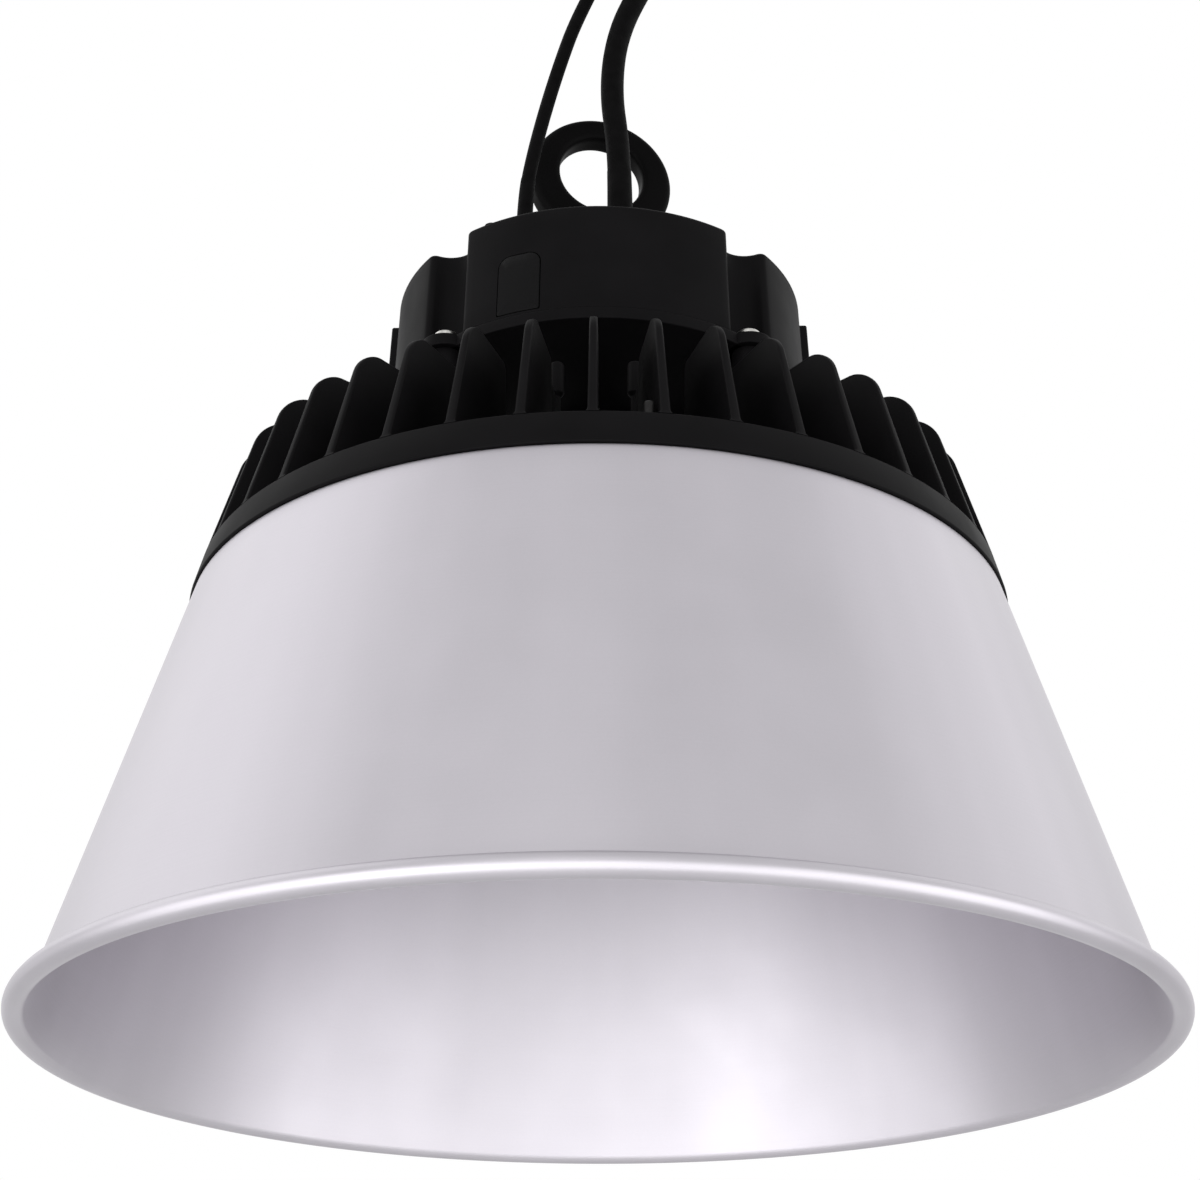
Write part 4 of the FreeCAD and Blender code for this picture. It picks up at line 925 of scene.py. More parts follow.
@dataclass
class HeatSink:
    """The casting: deck, band, radial fins, driver posts and small stubs."""

    recess_level: float = 166.0
    recess_radius: float = 122.0
    wire_hole: float = 7.0
    hub_radius: float = 30.0
    hub_round: float = 1.5
    fin_count: int = 40
    fin_foot: float = 3.6
    fin_draft: float = math.radians(0.55)
    fin_lean: float = math.radians(15.5)
    fin_crown: float = 14.0
    fin_middle: float = 115.0
    fin_inner: float = 106.0
    fin_knee: float = 24.0
    fin_root: float = 92.0
    fin_edge: float = 0.9
    fin_fillet: float = 1.6
    post_radius: float = 6.5
    stub_circle: float = 90.0
    stub_angle: float = math.radians(9)
    stub_stem: float = 1.5
    stub_head: float = 2.7
    stub_top: float = 230.0
    stub_head_height: float = 14.0
    web_height: float = 41.0
    web_width: float = 2.0
    foot_depth: float = 1.0
    crown_reach: float = 10.0

    def edge_reach(self, level: float) -> tuple[float, float]:
        """How far a fin reaches at a level.

        Args:
            level: the level in mm.

        Returns:
            Its inner and outer radius in mm.
        """
        height = FIN_LEVEL - DECK_LEVEL
        crown = DECK_RADIUS - height * math.tan(self.fin_lean)
        top = (self.fin_middle, FIN_LEVEL)
        outline = rounded([(DECK_RADIUS, DECK_LEVEL), (crown, FIN_LEVEL, self.fin_crown), top], 14)
        inline = rounded(
            [
                (self.fin_root, DECK_LEVEL),
                (self.fin_inner - 1.2, DECK_LEVEL + self.fin_knee, 12),
                (self.fin_inner, FIN_LEVEL, 3.5),
                top,
            ],
            10,
        )
        return self.along(inline, level), self.along(outline, level)

    @staticmethod
    def along(line: Sequence[tuple[float, float]], level: float) -> float:
        """The radius at a level on a line that rises."""
        for (near, low), (far, high) in zip(line, line[1:]):
            if low <= level <= high and high > low:
                return near + (far - near) * (level - low) / (high - low)
        return line[-1][0] if level > line[-1][1] else line[0][0]

    def fin_section(self, level: float, grown: float = 0.0) -> Row:
        """One level section of the fin that points along +X.

        Args:
            level: its level in mm.
            grown: how much each side stands out, in mm, negative near the crown.

        Returns:
            The section's points, anticlockwise.
        """
        inner, outer = self.edge_reach(min(max(level, DECK_LEVEL), FIN_LEVEL))
        half = self.fin_foot / 2 - math.tan(self.fin_draft) * (level - DECK_LEVEL) + grown
        inner, outer = inner - grown, outer + min(grown, 0)
        return slab_row(inner, outer, half, min(self.fin_edge, half * 0.9), level)

    def fin(self) -> Mesh:
        """One fin, with a fillet at its foot and rounded edges."""
        fillet, edge = self.fin_fillet, self.fin_edge
        low, top = DECK_LEVEL + fillet, FIN_LEVEL - edge
        crown = FIN_LEVEL - self.crown_reach
        quarter = evenly(0, TURN / 4, 4)
        rows = [
            self.fin_section(DECK_LEVEL + fillet * (1 - math.cos(angle)), fillet * (1 - math.sin(angle)))
            for angle in quarter
        ]
        rows += [self.fin_section(level) for level in evenly(low, crown, 7)[1:]]
        rows += [
            self.fin_section(crown + (top - crown) * math.sin(angle)) for angle in evenly(0, TURN / 4, 10)[1:]
        ]
        rows += [
            self.fin_section(top + edge * math.sin(angle) * 0.999, -edge * (1 - math.cos(angle)))
            for angle in quarter[1:]
        ]
        return loft("fin", rows)

    def build(self) -> None:
        """Make the casting."""
        paint = Finishes.CASTING.material()
        deck = lathe(
            "deck",
            [
                (self.wire_hole, self.recess_level),
                (self.recess_radius, self.recess_level),
                (self.recess_radius, SEAT_LEVEL),
                (BAND_RADIUS, SEAT_LEVEL, 0.8),
                (DECK_RADIUS, DECK_LEVEL, 0.7),
                (self.hub_radius, DECK_LEVEL, self.hub_round),
                (self.hub_radius, HUB_LEVEL, self.hub_round),
                (self.wire_hole, HUB_LEVEL),
            ],
            segments=240,
            ring=True,
        )
        fins = RingTree.grow(self.fin(), self.fin_count, 0, 0, -TURN / 4, paint)
        foot = DECK_LEVEL - self.foot_depth
        post = lathe(
            "post",
            [
                (0, foot),
                (self.post_radius + 3, foot),
                (self.post_radius + 0.5, DECK_LEVEL + 0.2, 2.2),
                (self.post_radius, BASE_LEVEL, 0.4),
                (0, BASE_LEVEL),
            ],
            segments=40,
        )
        posts = RingTree.grow(post, 4, LUG_CIRCLE, 0, LUG_AZIMUTH, paint)
        casting = merged("casting", [deck, fins, posts, *self.stubs(paint)])
        add_piece("heat_sink_casting", casting, Finishes.CASTING, ["heat_sink"])

    def stubs(self, paint: Material) -> list[Mesh]:
        """The small stubs beside the front and back fins, each on its web."""
        foot = DECK_LEVEL - self.foot_depth
        neck = self.stub_top - self.stub_head_height
        long = self.fin_inner - self.stub_circle
        made = []
        for side in (1, -1):
            stub = lathe(
                "stub",
                [
                    (0, foot),
                    (self.stub_stem, foot),
                    (self.stub_stem, neck, 0.4),
                    (self.stub_head, neck + 1.4, 0.8),
                    (self.stub_head, self.stub_top, 1.0),
                    (0, self.stub_top),
                ],
                24,
            )
            middle = (long / 2, 0, foot + self.web_height / 2)
            web = box("web", (long, self.web_width, self.web_height), middle, 0.5)
            for piece in (stub, web):
                angle = side * self.stub_angle - TURN / 4
                made.append(RingTree.grow(piece, 2, self.stub_circle, 0, angle, paint))
        return made


# ---------------------------------------------------------------- light engine


@dataclass
class LightEngine:
    """What shows from below: the cover with its moulded lenses, and the screws of the ring that holds it."""

    ring_counts: tuple[int, ...] = (6, 12, 18, 24, 30)
    ring_pitch: float = 20.0
    dome_radius: float = 7.4
    dome_height: float = 2.6
    face_level: float = 156.1
    plate_radius: float = 130.0
    plate_top: float = 160.3
    step_level: float = 157.3
    step_radius: float = 112.0
    screw_count: int = 10
    screw_circle: float = 135.0
    screw_seat: float = 154.8

    def dome(self) -> Mesh:
        """One moulded lens below the cover, with a dimple at its middle."""
        root = self.face_level + 0.6
        corners: list[Corner] = [(0, root), (self.dome_radius + 0.8, root)]
        for angle in evenly(0, TURN / 4, 8):
            drop = self.dome_height * math.sin(angle) - 0.25 * math.sin(angle) ** 8
            corners.append((self.dome_radius * math.cos(angle) + 1e-3, self.face_level - drop))
        corners.append((0, self.face_level - self.dome_height + 0.45))
        return lathe("dome", corners, 20)

    def build(self) -> None:
        """Make the cover and the screws of its ring."""
        opal = Finishes.OPAL.material()
        plate = lathe(
            "plate",
            [
                (0, self.plate_top),
                (self.plate_radius, self.plate_top, 0.3),
                (self.plate_radius, self.step_level, 0.3),
                (self.step_radius, self.step_level, 0.5),
                (self.step_radius, self.face_level, 0.6),
                (0, self.face_level),
            ],
            segments=192,
        )
        domes = [
            RingTree.grow(self.dome(), count, self.ring_pitch * (k + 1), 0, 0.0, opal)
            for k, count in enumerate(self.ring_counts)
        ]
        add_piece("lens_cover", merged("cover", [plate, *domes]), Finishes.OPAL, ["lens_plate"])
        screws = RingTree.grow(
            Screw(thread=2.0, length=13.0, drive=Drive.CROSS).mesh(down=True),
            self.screw_count,
            self.screw_circle,
            self.screw_seat,
            0.0,
            Finishes.BRIGHT.material(),
        )
        add_piece("ring_screws", screws, Finishes.BRIGHT, ["lens_ring_screws"])


# ---------------------------------------------------------------- driver


@dataclass
class Driver:
    """The driver's case: base with lugs, round housing with scallops and ribs, cover and fasteners."""

    base_radius: float = 84.0
    lug_radius: float = 9.0
    foot_radius: float = 83.5
    draft: float = 1.5
    roof_round: float = 1.8
    scallop: float = 9.7
    lip_round: float = 2.5
    arc_parts: int = 40
    scallop_parts: int = 18
    lip_parts: int = 5
    rib_width: float = 6.0
    rib_level: float = 301.0
    rib_reach: float = 3.2
    rib_foot: float = 71.4
    rib_edge: float = 0.6
    cover_azimuth: float = math.radians(-20.7)
    cover_width: float = 17.0
    cover_low: float = 259.6
    cover_high: float = 285.4
    cover_round: float = 4.7
    cover_gap: float = 0.4
    washer_height: float = 1.0
    washer_bore: float = 2.6
    washer_radius: float = 5.2

    def reach(self, level: float) -> float:
        """The housing's drafted radius at a level, in mm."""
        return self.foot_radius - self.draft * (level - HOUSING_LEVEL) / (ROOF_LEVEL - HOUSING_LEVEL)

    def outline(self, level: float, inset: float = 0.0) -> Row:
        """The housing's outline at a level.

        Args:
            level: the level in mm.
            inset: how far the outline is drawn in, in mm.

        Returns:
            Its points, anticlockwise.
        """
        radius = self.reach(level) - inset
        bite, lip = self.scallop + inset, self.lip_round
        inner = radius - lip
        turn = math.acos((inner**2 + LUG_CIRCLE**2 - (bite + lip) ** 2) / (2 * inner * LUG_CIRCLE))
        loop: list[complex] = []
        for k in range(4):
            middle = LUG_AZIMUTH + k * TURN / 4
            hub = cmath.rect(LUG_CIRCLE, middle)
            near, far = cmath.rect(inner, middle - turn), cmath.rect(inner, middle + turn)
            bend = cmath.phase((hub - near) / near)
            half = cmath.phase((hub - near) / hub)
            for i in range(self.lip_parts + 1):
                loop.append(near + cmath.rect(lip, middle - turn + bend * i / self.lip_parts))
            for i in range(1, self.scallop_parts):
                loop.append(hub - cmath.rect(bite, middle + half * (1 - 2 * i / self.scallop_parts)))
            for i in range(self.lip_parts + 1):
                loop.append(far + cmath.rect(lip, middle + turn + bend * (i / self.lip_parts - 1)))
            sweep = TURN / 4 - 2 * turn
            for i in range(1, self.arc_parts):
                loop.append(cmath.rect(radius, middle + turn + sweep * i / self.arc_parts))
        return [Vector((point.real, point.imag, level)) * MM for point in loop]

    def housing(self) -> Mesh:
        """The housing's shell, closed below."""
        rows = [self.outline(HOUSING_LEVEL, 0.5), self.outline(HOUSING_LEVEL + 0.5)]
        rows += [self.outline(HOUSING_LEVEL + 0.5 + 8 * i) for i in range(1, 6)]
        for angle in evenly(0, TURN / 4, 8):
            level = ROOF_LEVEL - self.roof_round * (1 - math.sin(angle))
            rows.append(self.outline(level, self.roof_round * (1 - math.cos(angle))))
        return loft("housing", rows)

    def rib(self) -> Mesh:
        """One of the two ribs, pointing along +X."""
        rows = []
        height = self.rib_level - HOUSING_LEVEL
        for level, shrink in (
            (HOUSING_LEVEL, 0.5),
            (HOUSING_LEVEL + 0.5, 0),
            (self.rib_level - 0.8, 0),
            (self.rib_level - 0.25, 0.25),
            (self.rib_level, 0.8),
        ):
            outer = self.reach(level) + self.rib_reach - shrink
            half = self.rib_width / 2 - 0.3 * (level - HOUSING_LEVEL) / height - shrink
            rows.append(slab_row(self.rib_foot, outer, half, self.rib_edge, level))
        return loft("rib", rows)

    def bent(self, rings: Sequence[tuple[float, float]], grown: float = 0.0) -> Mesh:
        """A plate with the small cover's outline, bent to the housing's curve.

        Args:
            rings: for each row from the back to the face, how far it is drawn in and how far it
                stands out from the housing, in mm.
            grown: how much larger than the cover the outline is, in mm.

        Returns:
            The bent plate.
        """
        half = self.cover_width / 2 + grown
        low, high = self.cover_low - grown, self.cover_high + grown
        corner = self.cover_round + grown
        loop = rounded(
            [
                (0, low),
                (half, low, 0.8),
                (half, high, corner),
                (-half, high, corner),
                (-half, low, 0.8),
                (0, low),
            ],
            6,
        )[:-1]
        rows = []
        middle = Vector((0, (low + high) / 2))
        for inset, proud in rings:
            row: Row = []
            for across, up in loop:
                away = Vector((across, up)) - middle
                spot = middle + away * max(0.0, 1 - inset / half)
                angle = self.cover_azimuth + spot.x / self.foot_radius - TURN / 4
                row.append(polar(self.reach(spot.y) + proud, angle, spot.y))
            rows.append(row)
        return loft("bent_plate", rows)

    def case(self) -> Mesh:
        """The housing with the recess for its cover cut in."""
        cutter = linked("cover_recess", self.bent([(0, -2.7), (0, 0.5), (0, 2)], self.cover_gap))
        carrier = linked("case_carrier", softened(self.housing(), 0.6))
        cut = carrier.modifiers.new("recess", "BOOLEAN")
        cut.object = cutter
        cut.solver = "EXACT"
        case = taken_from(carrier)
        blade = cutter.data
        bpy.data.objects.remove(cutter)
        bpy.data.meshes.remove(blade)
        return case

    @staticmethod
    def slab(radius: float, segments: int) -> Mesh:
        """A disc as thick as the base, with this radius in mm."""
        low, high = BASE_LEVEL, HOUSING_LEVEL
        return lathe("slab", [(0, low), (radius, low, 0.6), (radius, high, 0.6), (0, high)], segments)

    def build(self) -> None:
        """Make the case and its fasteners."""
        paint = Finishes.CASTING.material()
        steel = Finishes.BRIGHT.material()
        plate, lug = self.slab(self.base_radius, 192), self.slab(self.lug_radius, 48)
        lugs = RingTree.grow(lug, 4, LUG_CIRCLE, 0, LUG_AZIMUTH, paint)
        foot = merged("foot", [plate, lugs])
        add_piece("driver_foot", foot, Finishes.CASTING, ["driver_base"])
        ribs = RingTree.grow(self.rib(), 2, 0, 0, 0.0, paint)
        case = merged("case", [self.case(), ribs])
        add_piece("driver_case", case, Finishes.CASTING, ["driver_housing"])
        cover = self.bent([(0, -2.4), (0, 0.05), (0.25, 0.3), (3, 0.34), (6, 0.35)])
        add_piece("side_cover", cover, Finishes.COVER, ["port_cover"])
        thick = self.washer_height
        screws = RingTree.grow(
            Screw(thread=2.5, length=18.0).mesh(), 4, LUG_CIRCLE, HOUSING_LEVEL + thick, LUG_AZIMUTH, steel
        )
        add_piece("case_screws", screws, Finishes.BRIGHT, ["driver_screws"])
        bore, wide = self.washer_bore, self.washer_radius
        profile = [(bore, 0), (wide, 0, 0.2), (wide, thick, 0.3), (bore, thick)]
        washer = lathe("washer", profile, 40, ring=True)
        washers = RingTree.grow(washer, 4, LUG_CIRCLE, HOUSING_LEVEL, LUG_AZIMUTH, steel)
        add_piece("case_washers", washers, Finishes.BRIGHT, ["driver_washers"])


# ---------------------------------------------------------------- hanging eye


@dataclass
class HangingEye:
    """The forged eye with its nut; its washer is a carried-over solid."""

    ring_outer: float = 30.5
    ring_hole: float = 18.0
    hole_offset: float = 2.3
    depth: float = 11.0
    edge: float = 3.0
    yaw: float = math.radians(14)
    nut_flats: float = 24.0
    nut_level: float = 307.5
    nut_height: float = 10.0
    collar_level: float = 317.5
    collar_height: float = 7.0
    collar_radius: float = 14.0
    stem_low: float = 280.0
    stem_radius: float = 8.0
    neck_radius: float = 8.6
    neck_drop: float = 26.8
    voxel: float = 0.55

    def ring(self) -> Mesh:
        """The ring, swept about its hole."""
        section = rounded(
            [
                (self.ring_hole, 0),
                (self.ring_hole, self.depth / 2, self.edge),
                (self.ring_outer, self.depth / 2, self.edge),
                (self.ring_outer, -self.depth / 2, self.edge),
                (self.ring_hole, -self.depth / 2, self.edge),
                (self.ring_hole, 0),
            ],
            6,
        )[:-1]
        rows = []
        for radius, level in section:
            share = (self.ring_outer - radius) / (self.ring_outer - self.ring_hole)
            lift = Vector((0, self.hole_offset * share * MM, 0))
            rows.append([spot + lift for spot in turned_row(radius, level, 128)])
        upright = Matrix.Rotation(TURN / 4, 4, "X")
        return moved(loft("eye_ring", rows, looped=True), at(0, 0, EYE_LEVEL - self.hole_offset) @ upright)

    def build(self) -> None:
        """Make the eye and its nut."""
        neck_level, neck_top = self.collar_level + self.collar_height, EYE_LEVEL - self.neck_drop
        stem = lathe(
            "eye_stem",
            [
                (0, self.stem_low),
                (self.stem_radius - 0.8, self.stem_low),
                (self.stem_radius, self.stem_low + 1),
                (self.stem_radius, self.collar_level),
                (self.collar_radius, self.collar_level, 1.0),
                (self.collar_radius, neck_level, 1.6),
                (self.neck_radius + 1, neck_level, 1.6),
                (self.neck_radius, neck_level + 16),
                (self.neck_radius, neck_top),
                (0, neck_top),
            ],
            segments=64,
        )
        carrier = linked("eye_carrier", merged("eye", [self.ring(), stem]))
        remesh = carrier.modifiers.new("forged", "REMESH")
        remesh.mode = "VOXEL"
        remesh.voxel_size = self.voxel * MM
        smooth = carrier.modifiers.new("relaxed", "SMOOTH")
        smooth.factor = 0.5
        smooth.iterations = 6
        eye = moved(taken_from(carrier), about_upright(self.yaw))
        add_piece("forged_eye", eye, Finishes.FORGING, ["hanging_eye"], sharp=60)
        nut = moved(hexagon_nut(self.nut_flats, self.nut_height), at(0, 0, self.nut_level))
        add_piece("eye_lock_nut", nut, Finishes.FORGING, ["eye_nut"])


# ---------------------------------------------------------------- leads


@dataclass
class Lead:
    """A lead with its gland, the tapered sleeve where it leaves the gland, and its connector.

    The route is in metres, and the other sizes are in mm, apart from the length. The sleeve's ends are
    shares of the lead's first span.
    """

    name: str
    side: float
    radius: float
    flats: float
    length: float
    connector_radius: float
    connector_length: float
    route: tuple[Corner, ...]
    sleeve_start: float = 0.17
    sleeve_end: float = 0.86
    wall: float = 2.2
    hexagon_height: float = 3.0
    shank_depth: float = 11.0
    cap_shoulder: float = 7.0
    cap_top: float = 11.0
    grip: Corner = (0.9, 1.4, 3.0)
    grip_level: float = 5.2
    grip_pitch: float = 3.2
    rib_pitch: float = 2.6
    collar_share: float = 0.25
    waist_share: float = 0.5
    lip_share: float = 0.86

    def spline(self) -> Object:
        """The lead as a bevelled NURBS curve along its route."""
        curve = bpy.data.curves.new(f"{self.name}_lead", "CURVE")
        curve.dimensions = "3D"
        line = curve.splines.new("NURBS")
        line.points.add(len(self.route) - 1)
        for point, spot in zip(line.points, self.route):
            point.co = (*spot, 1)
        line.order_u = 3
        line.use_endpoint_u = True
        line.resolution_u = 12
        curve.bevel_depth = self.radius * MM
        curve.bevel_resolution = 8
        curve.use_fill_caps = True
        curve.materials.append(Finishes.JACKET.material())
        return linked(f"{self.name}_lead", curve)

    def ring_along(self, share: float, radius: float) -> list[Vector]:
        """A ring about the lead's first span.

        Args:
            share: how far along the span it stands, from 0 to 1.
            radius: the ring's radius in millimetres.

        Returns:
            The ring's points in metres.
        """
        first, second, third = (Vector(spot) for spot in self.route[:3])
        centre = first * (1 - share) ** 2 + second * (2 * share - 1.5 * share**2) + third * (share**2 / 2)
        heading = second * (2 - 3 * share) + third * share - first * (2 - 2 * share)
        turn = heading.to_track_quat("Z", "Y")
        return [centre + turn @ spot for spot in turned_row(radius, 0, 48)]

    def gland(self) -> None:
        """Make the gland's body, its domed nut and the tapered sleeve above it."""
        bore, tube = self.radius + 0.2, self.radius + self.wall
        skirt, low = tube + self.wall, self.hexagon_height + 0.05
        place = at(self.side, LEAD_DEPTH, PLATE_LEVEL)
        profile = [(0, -self.shank_depth), (tube, -self.shank_depth, 0.4), (tube, 0.5), (0, 0.5)]
        shank = lathe("gland_shank", profile, 40)
        body = moved(merged("gland", [hexagon_nut(self.flats, self.hexagon_height), shank]), place)
        cap = lathe(
            "gland_cap",
            [
                (0, low),
                (skirt, low, 0.5),
                (skirt, self.cap_shoulder, 1.8),
                (bore + self.wall, self.cap_top, 0.6),
                (bore, self.cap_top, 0.3),
                (bore, self.cap_top - 2),
                (0, self.cap_top - 2),
            ],
            60,
        )
        grip = box("grip", self.grip, (0, 0, self.grip_level), 0.3)
        count = round(TURN * skirt / self.grip_pitch)
        grips = RingTree.grow(grip, count, skirt, 0, 0.0, Finishes.NYLON.material())
        cap = moved(merged("gland_cap", [cap, grips]), place)
        shares = evenly(self.sleeve_start, self.sleeve_end, 12)
        outside = [self.ring_along(share, self.radius + 0.45 - 0.37 * share) for share in shares]
        inside = [self.ring_along(share, self.radius - 0.3) for share in reversed(shares)]
        sleeve = loft("sleeve", [*outside, *inside], looped=True)
        name = self.name
        add_piece(f"{name}_gland_body", body, Finishes.NYLON, [f"{name}_gland"])
        add_piece(f"{name}_gland_cap", cap, Finishes.NYLON, [f"{name}_gland_nut"])
        add_piece(f"{name}_strain_sleeve", sleeve, Finishes.JACKET, [f"{name}_gland_seal"])

    def connector(self) -> Object:
        """The connector: a tapered sleeve, a ribbed coupling nut and a socket."""
        wide, long = self.connector_radius, self.connector_length
        waist, socket = wide - 1.1, wide - 2.2
        collar, middle, lip = long * self.collar_share, long * self.waist_share, long * self.lip_share
        shell = lathe(
            "connector",
            [
                (0, 0),
                (self.radius + 0.9, 0, 0.4),
                (socket, collar, 0.8),
                (wide, collar, 0.6),
                (wide, middle, 0.6),
                (waist, middle, 0.3),
                (waist, lip, 0.3),
                (wide, lip, 0.5),
                (wide, long, 0.5),
                (socket, long, 0.3),
                (socket, long * 0.87),
                (0, long * 0.87),
            ],
            64,
        )
        rib = box("coupling_rib", (1.6, 1.1, long * 0.3), (0, 0, long * 0.68), 0.25)
        count = round(TURN * wide / self.rib_pitch)
        ribs = RingTree.grow(rib, count, wide - 1.0, 0, 0.0, Finishes.NYLON.material())
        end, before = Vector(self.route[-1]), Vector(self.route[-2])
        turn = (end - before).to_track_quat("Z", "Y").to_matrix().to_4x4()
        mesh = moved(merged("connector", [shell, ribs]), Matrix.Translation(end) @ turn)
        name = self.name
        return add_piece(f"{name}_coupling", mesh, Finishes.NYLON, [f"{name}_connector"])

    def build(self) -> None:
        """Make the lead and what is on it."""
        lead = self.spline()
        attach(lead, ROOT)
        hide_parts(f"{self.name}_cable")
        self.gland()
        plug = self.connector()
        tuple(self.route[0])
        log.info("%s lead: %d route points", self.name, len(self.route))


POWER_LEAD = Lead(
    name="power",
    side=POWER_SIDE,
    radius=4.7,
    flats=20.0,
    length=0.146,
    connector_radius=10.5,
    connector_length=40.0,
    route=(
        (0.0089, -0.0520, 0.308),
        (0.0089, -0.0520, 0.334),
        (0.0080, -0.0521, 0.357),
        (0.0053, -0.0516, 0.381),
        (0.0071, -0.0503, 0.407),
        (0.0142, -0.0485, 0.431),
        (0.0236, -0.0460, 0.451),
    ),
)
DIMMING_LEAD = Lead(
    name="dimming",
    side=DIMMING_SIDE,
    radius=2.8,
    flats=15.0,
    length=0.140,
    connector_radius=7.0,
    connector_length=32.0,
    route=(
        (-0.0289, -0.0520, 0.308),
        (-0.0289, -0.0520, 0.331),
        (-0.0256, -0.0518, 0.352),
        (-0.0209, -0.0512, 0.375),
        (-0.0152, -0.0502, 0.399),
        (-0.0090, -0.0486, 0.422),
        (-0.0008, -0.0462, 0.444),
    ),
)


# ---------------------------------------------------------------- carried-over solids

CARRIED: dict[str, Finishes] = {
    "lens_ring": Finishes.CASTING,
    "lens_gasket": Finishes.SEAL,
    "led_board": Finishes.BOARD,
    "led_chips": Finishes.PHOSPHOR,
    "board_screws": Finishes.BRIGHT,
    "thermal_pad": Finishes.PAD,
    "driver_gasket": Finishes.SEAL,
    "breather_vent": Finishes.NYLON,
    "wiring_stem": Finishes.FORGING,
    "stem_seals": Finishes.SEAL,
    "supply_wires": Finishes.WIRE,
    "eye_washer": Finishes.FORGING,
    "inner_nut": Finishes.BRIGHT,
    "gland_plate": Finishes.CASTING,
    "plate_screws": Finishes.FORGING,
    "circuit_board": Finishes.CIRCUIT,
    "circuit_screws": Finishes.BRIGHT,
    "transformer": Finishes.TAPE,
    "choke": Finishes.FERRITE,
    "capacitors": Finishes.SLEEVE,
    "heat_spreader": Finishes.MILLED,
    "transistors": Finishes.FERRITE,
    "terminal_block": Finishes.TERMINAL,
    "filter_capacitor": Finishes.TAPE,
}


def dress_carried() -> None:
    """Give each carried-over solid its material."""
    for name, finish in CARRIED.items():
        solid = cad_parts[name]
        for place in solid.material_slots:
            place.material = finish.material()
        log.info("%s: carried over as %s", name, finish.name.lower())


# ---------------------------------------------------------------- studio


@dataclass(frozen=True)
class Lamp:
    """A soft square lamp that faces the light: its place and side in metres, and its face's radiance."""

    name: str
    spot: Corner
    size: float
    radiance: float

    def hang(self) -> None:
        """Add the lamp to the scene."""
        data = bpy.data.lights.new(self.name, "AREA")
        data.energy = self.radiance * math.pi * self.size**2
        data.size = self.size
        lamp = linked(self.name, data)
        lamp.location = self.spot
        lamp.rotation_euler = (LAMP_TARGET - Vector(self.spot)).to_track_quat("-Z", "Y").to_euler()


LAMP_TARGET = Vector((0, 0, 0.2))
LAMPS = (
    Lamp("upper_left_lamp", (-1.8, 0.4, 1.9), 2.3, 0.68),
    Lamp("upper_right_lamp", (1.8, 0.7, 1.9), 2.1, 0.42),
    Lamp("front_high_lamp", (-0.2, -2.0, 1.5), 1.0, 0.5),
    Lamp("low_middle_lamp", (-0.4, -2.2, -0.8), 3.0, 1.65),
    Lamp("low_left_lamp", (-2.4, -1.4, -0.6), 3.4, 1.5),
    Lamp("low_right_lamp", (2.4, -1.4, -0.6), 3.4, 1.7),
)


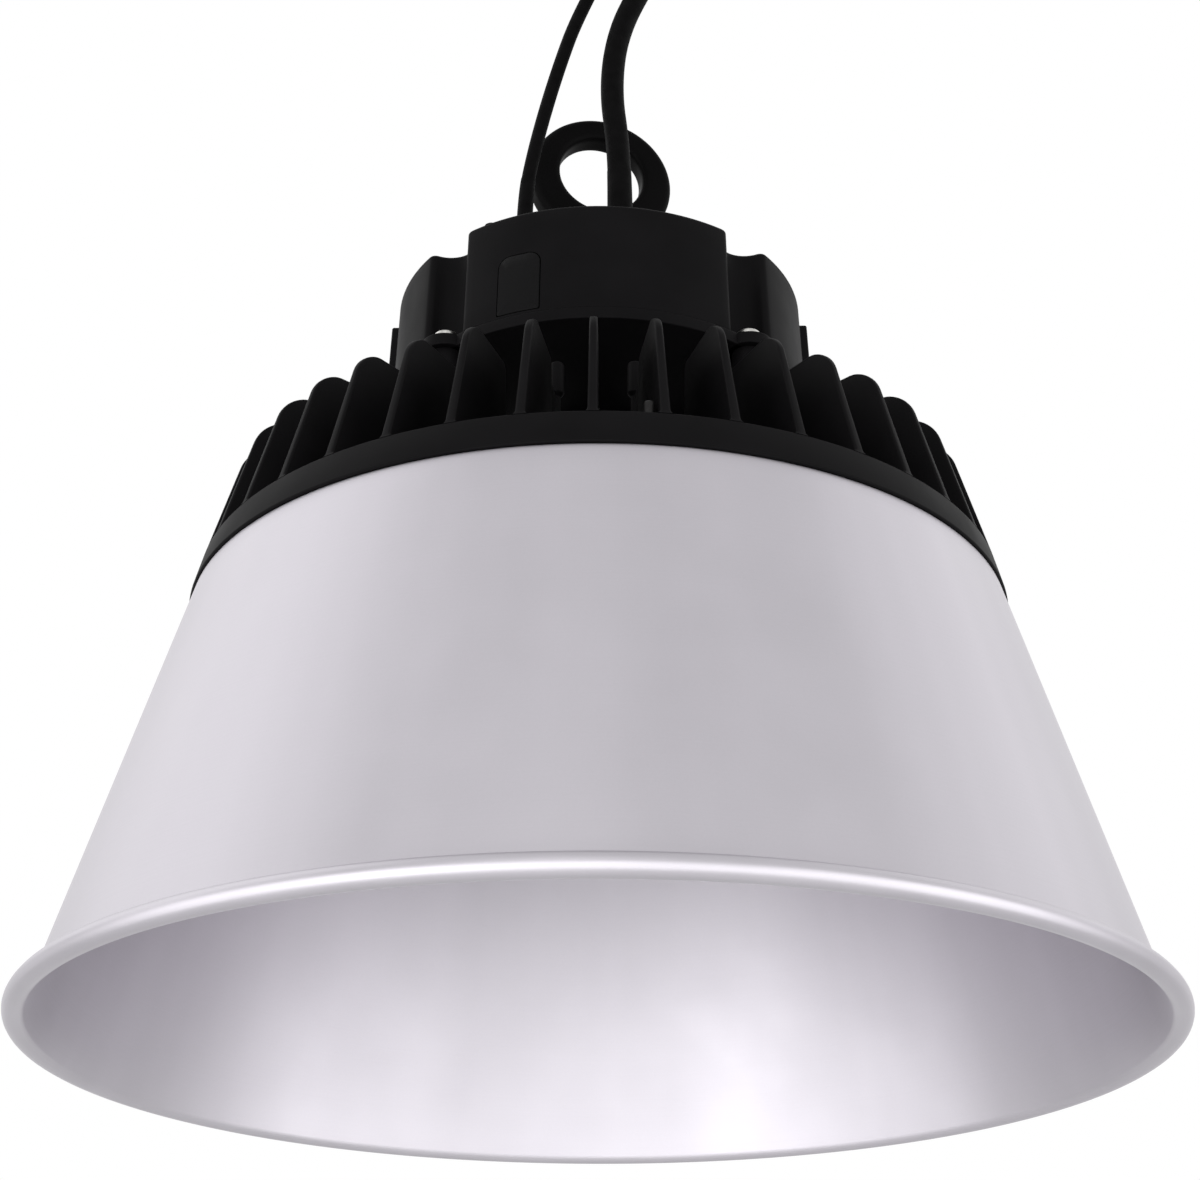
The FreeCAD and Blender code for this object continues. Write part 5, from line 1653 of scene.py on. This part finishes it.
@dataclass
class Studio:
    """The camera, the floor, the lamps and the world."""

    lens: float = 64.98
    sensor: float = 36.0
    clip: tuple[float, float] = (0.01, 60.0)
    distance: float = 0.761
    camera_level: float = -0.18085
    azimuth: float = math.radians(0.8)
    pitch: float = math.radians(25.48)
    heading: float = math.radians(0.036)
    roll: float = math.radians(0.09)
    floor_level: float = -1.7
    floor_half: float = 8.0
    fill: float = 0.92

    def build(self) -> None:
        """Set the studio up."""
        self.camera()
        self.floor()
        self.world()
        for lamp in LAMPS:
            lamp.hang()
        bpy.context.scene.view_settings.view_transform = "Standard"

    def camera(self) -> None:
        """Stand the camera below the light, looking up at it."""
        lens = bpy.data.cameras.new("camera")
        lens.lens = self.lens
        lens.sensor_width = self.sensor
        lens.sensor_fit = "HORIZONTAL"
        lens.clip_start, lens.clip_end = self.clip
        camera = linked("camera", lens)
        camera.location = (
            self.distance * math.sin(self.azimuth),
            -self.distance * math.cos(self.azimuth),
            self.camera_level,
        )
        turns = (self.azimuth - self.heading, "Z"), (TURN / 4 + self.pitch, "X"), (self.roll, "Z")
        turn, tilt, roll = (Matrix.Rotation(angle, 3, axis) for angle, axis in turns)
        camera.rotation_euler = (turn @ tilt @ roll).to_euler()
        bpy.context.scene.camera = camera

    def floor(self) -> None:
        """Lay the pale floor well below the hanging light."""
        half, level = self.floor_half, self.floor_level
        corners = ((-half, -half), (half, -half), (half, half), (-half, half))
        mesh = bpy.data.meshes.new("floor")
        mesh.from_pydata([(*corner, level) for corner in corners], [], [(0, 1, 2, 3)])
        paint = Graph("pale_floor")
        paint.set(Base_Color=(0.82, 0.82, 0.82, 1), Roughness=0.9)
        mesh.materials.append(paint.material)
        linked("floor", mesh)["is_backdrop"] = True

    def world(self) -> None:
        """Surround the light with white, dimmer where it only lights."""
        world = bpy.data.worlds.new("studio")
        world.use_nodes = True
        tree = world.node_tree
        tree.nodes.clear()
        path = tree.nodes.new("ShaderNodeLightPath")
        seen = maths(tree, "MAXIMUM", path.outputs["Is Camera Ray"], path.outputs["Is Glossy Ray"])
        seen = maths(tree, "MAXIMUM", seen, path.outputs["Is Transmission Ray"])
        strength = tree.nodes.new("ShaderNodeMapRange")
        tree.links.new(seen, strength.inputs["Value"])
        strength.inputs["To Min"].default_value = self.fill
        strength.inputs["To Max"].default_value = 1.0
        glow = tree.nodes.new("ShaderNodeBackground")
        glow.inputs["Color"].default_value = (1, 1, 1, 1)
        tree.links.new(strength.outputs[0], glow.inputs["Strength"])
        tree.links.new(glow.outputs[0], tree.nodes.new("ShaderNodeOutputWorld").inputs[0])
        bpy.context.scene.world = world


def write_size(cad: tuple[Vector, Vector]) -> None:
    """Args:
        cad: the CAD box's lowest and highest corners.
    """
    boxes = {"cad": cad, "visual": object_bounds()}
    {name: [list(corner) for corner in box] for name, box in boxes.items()}


def main() -> None:
    """Build the light in its studio."""
    logging.basicConfig(level=logging.INFO, format="%(message)s")
    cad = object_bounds()
    Studio().build()
    POWER_LEAD.build()
    DIMMING_LEAD.build()
    Reflector().build()
    HeatSink().build()
    LightEngine().build()
    Driver().build()
    HangingEye().build()
    dress_carried()
    write_size(cad)


if __name__ == "__main__":
    main()
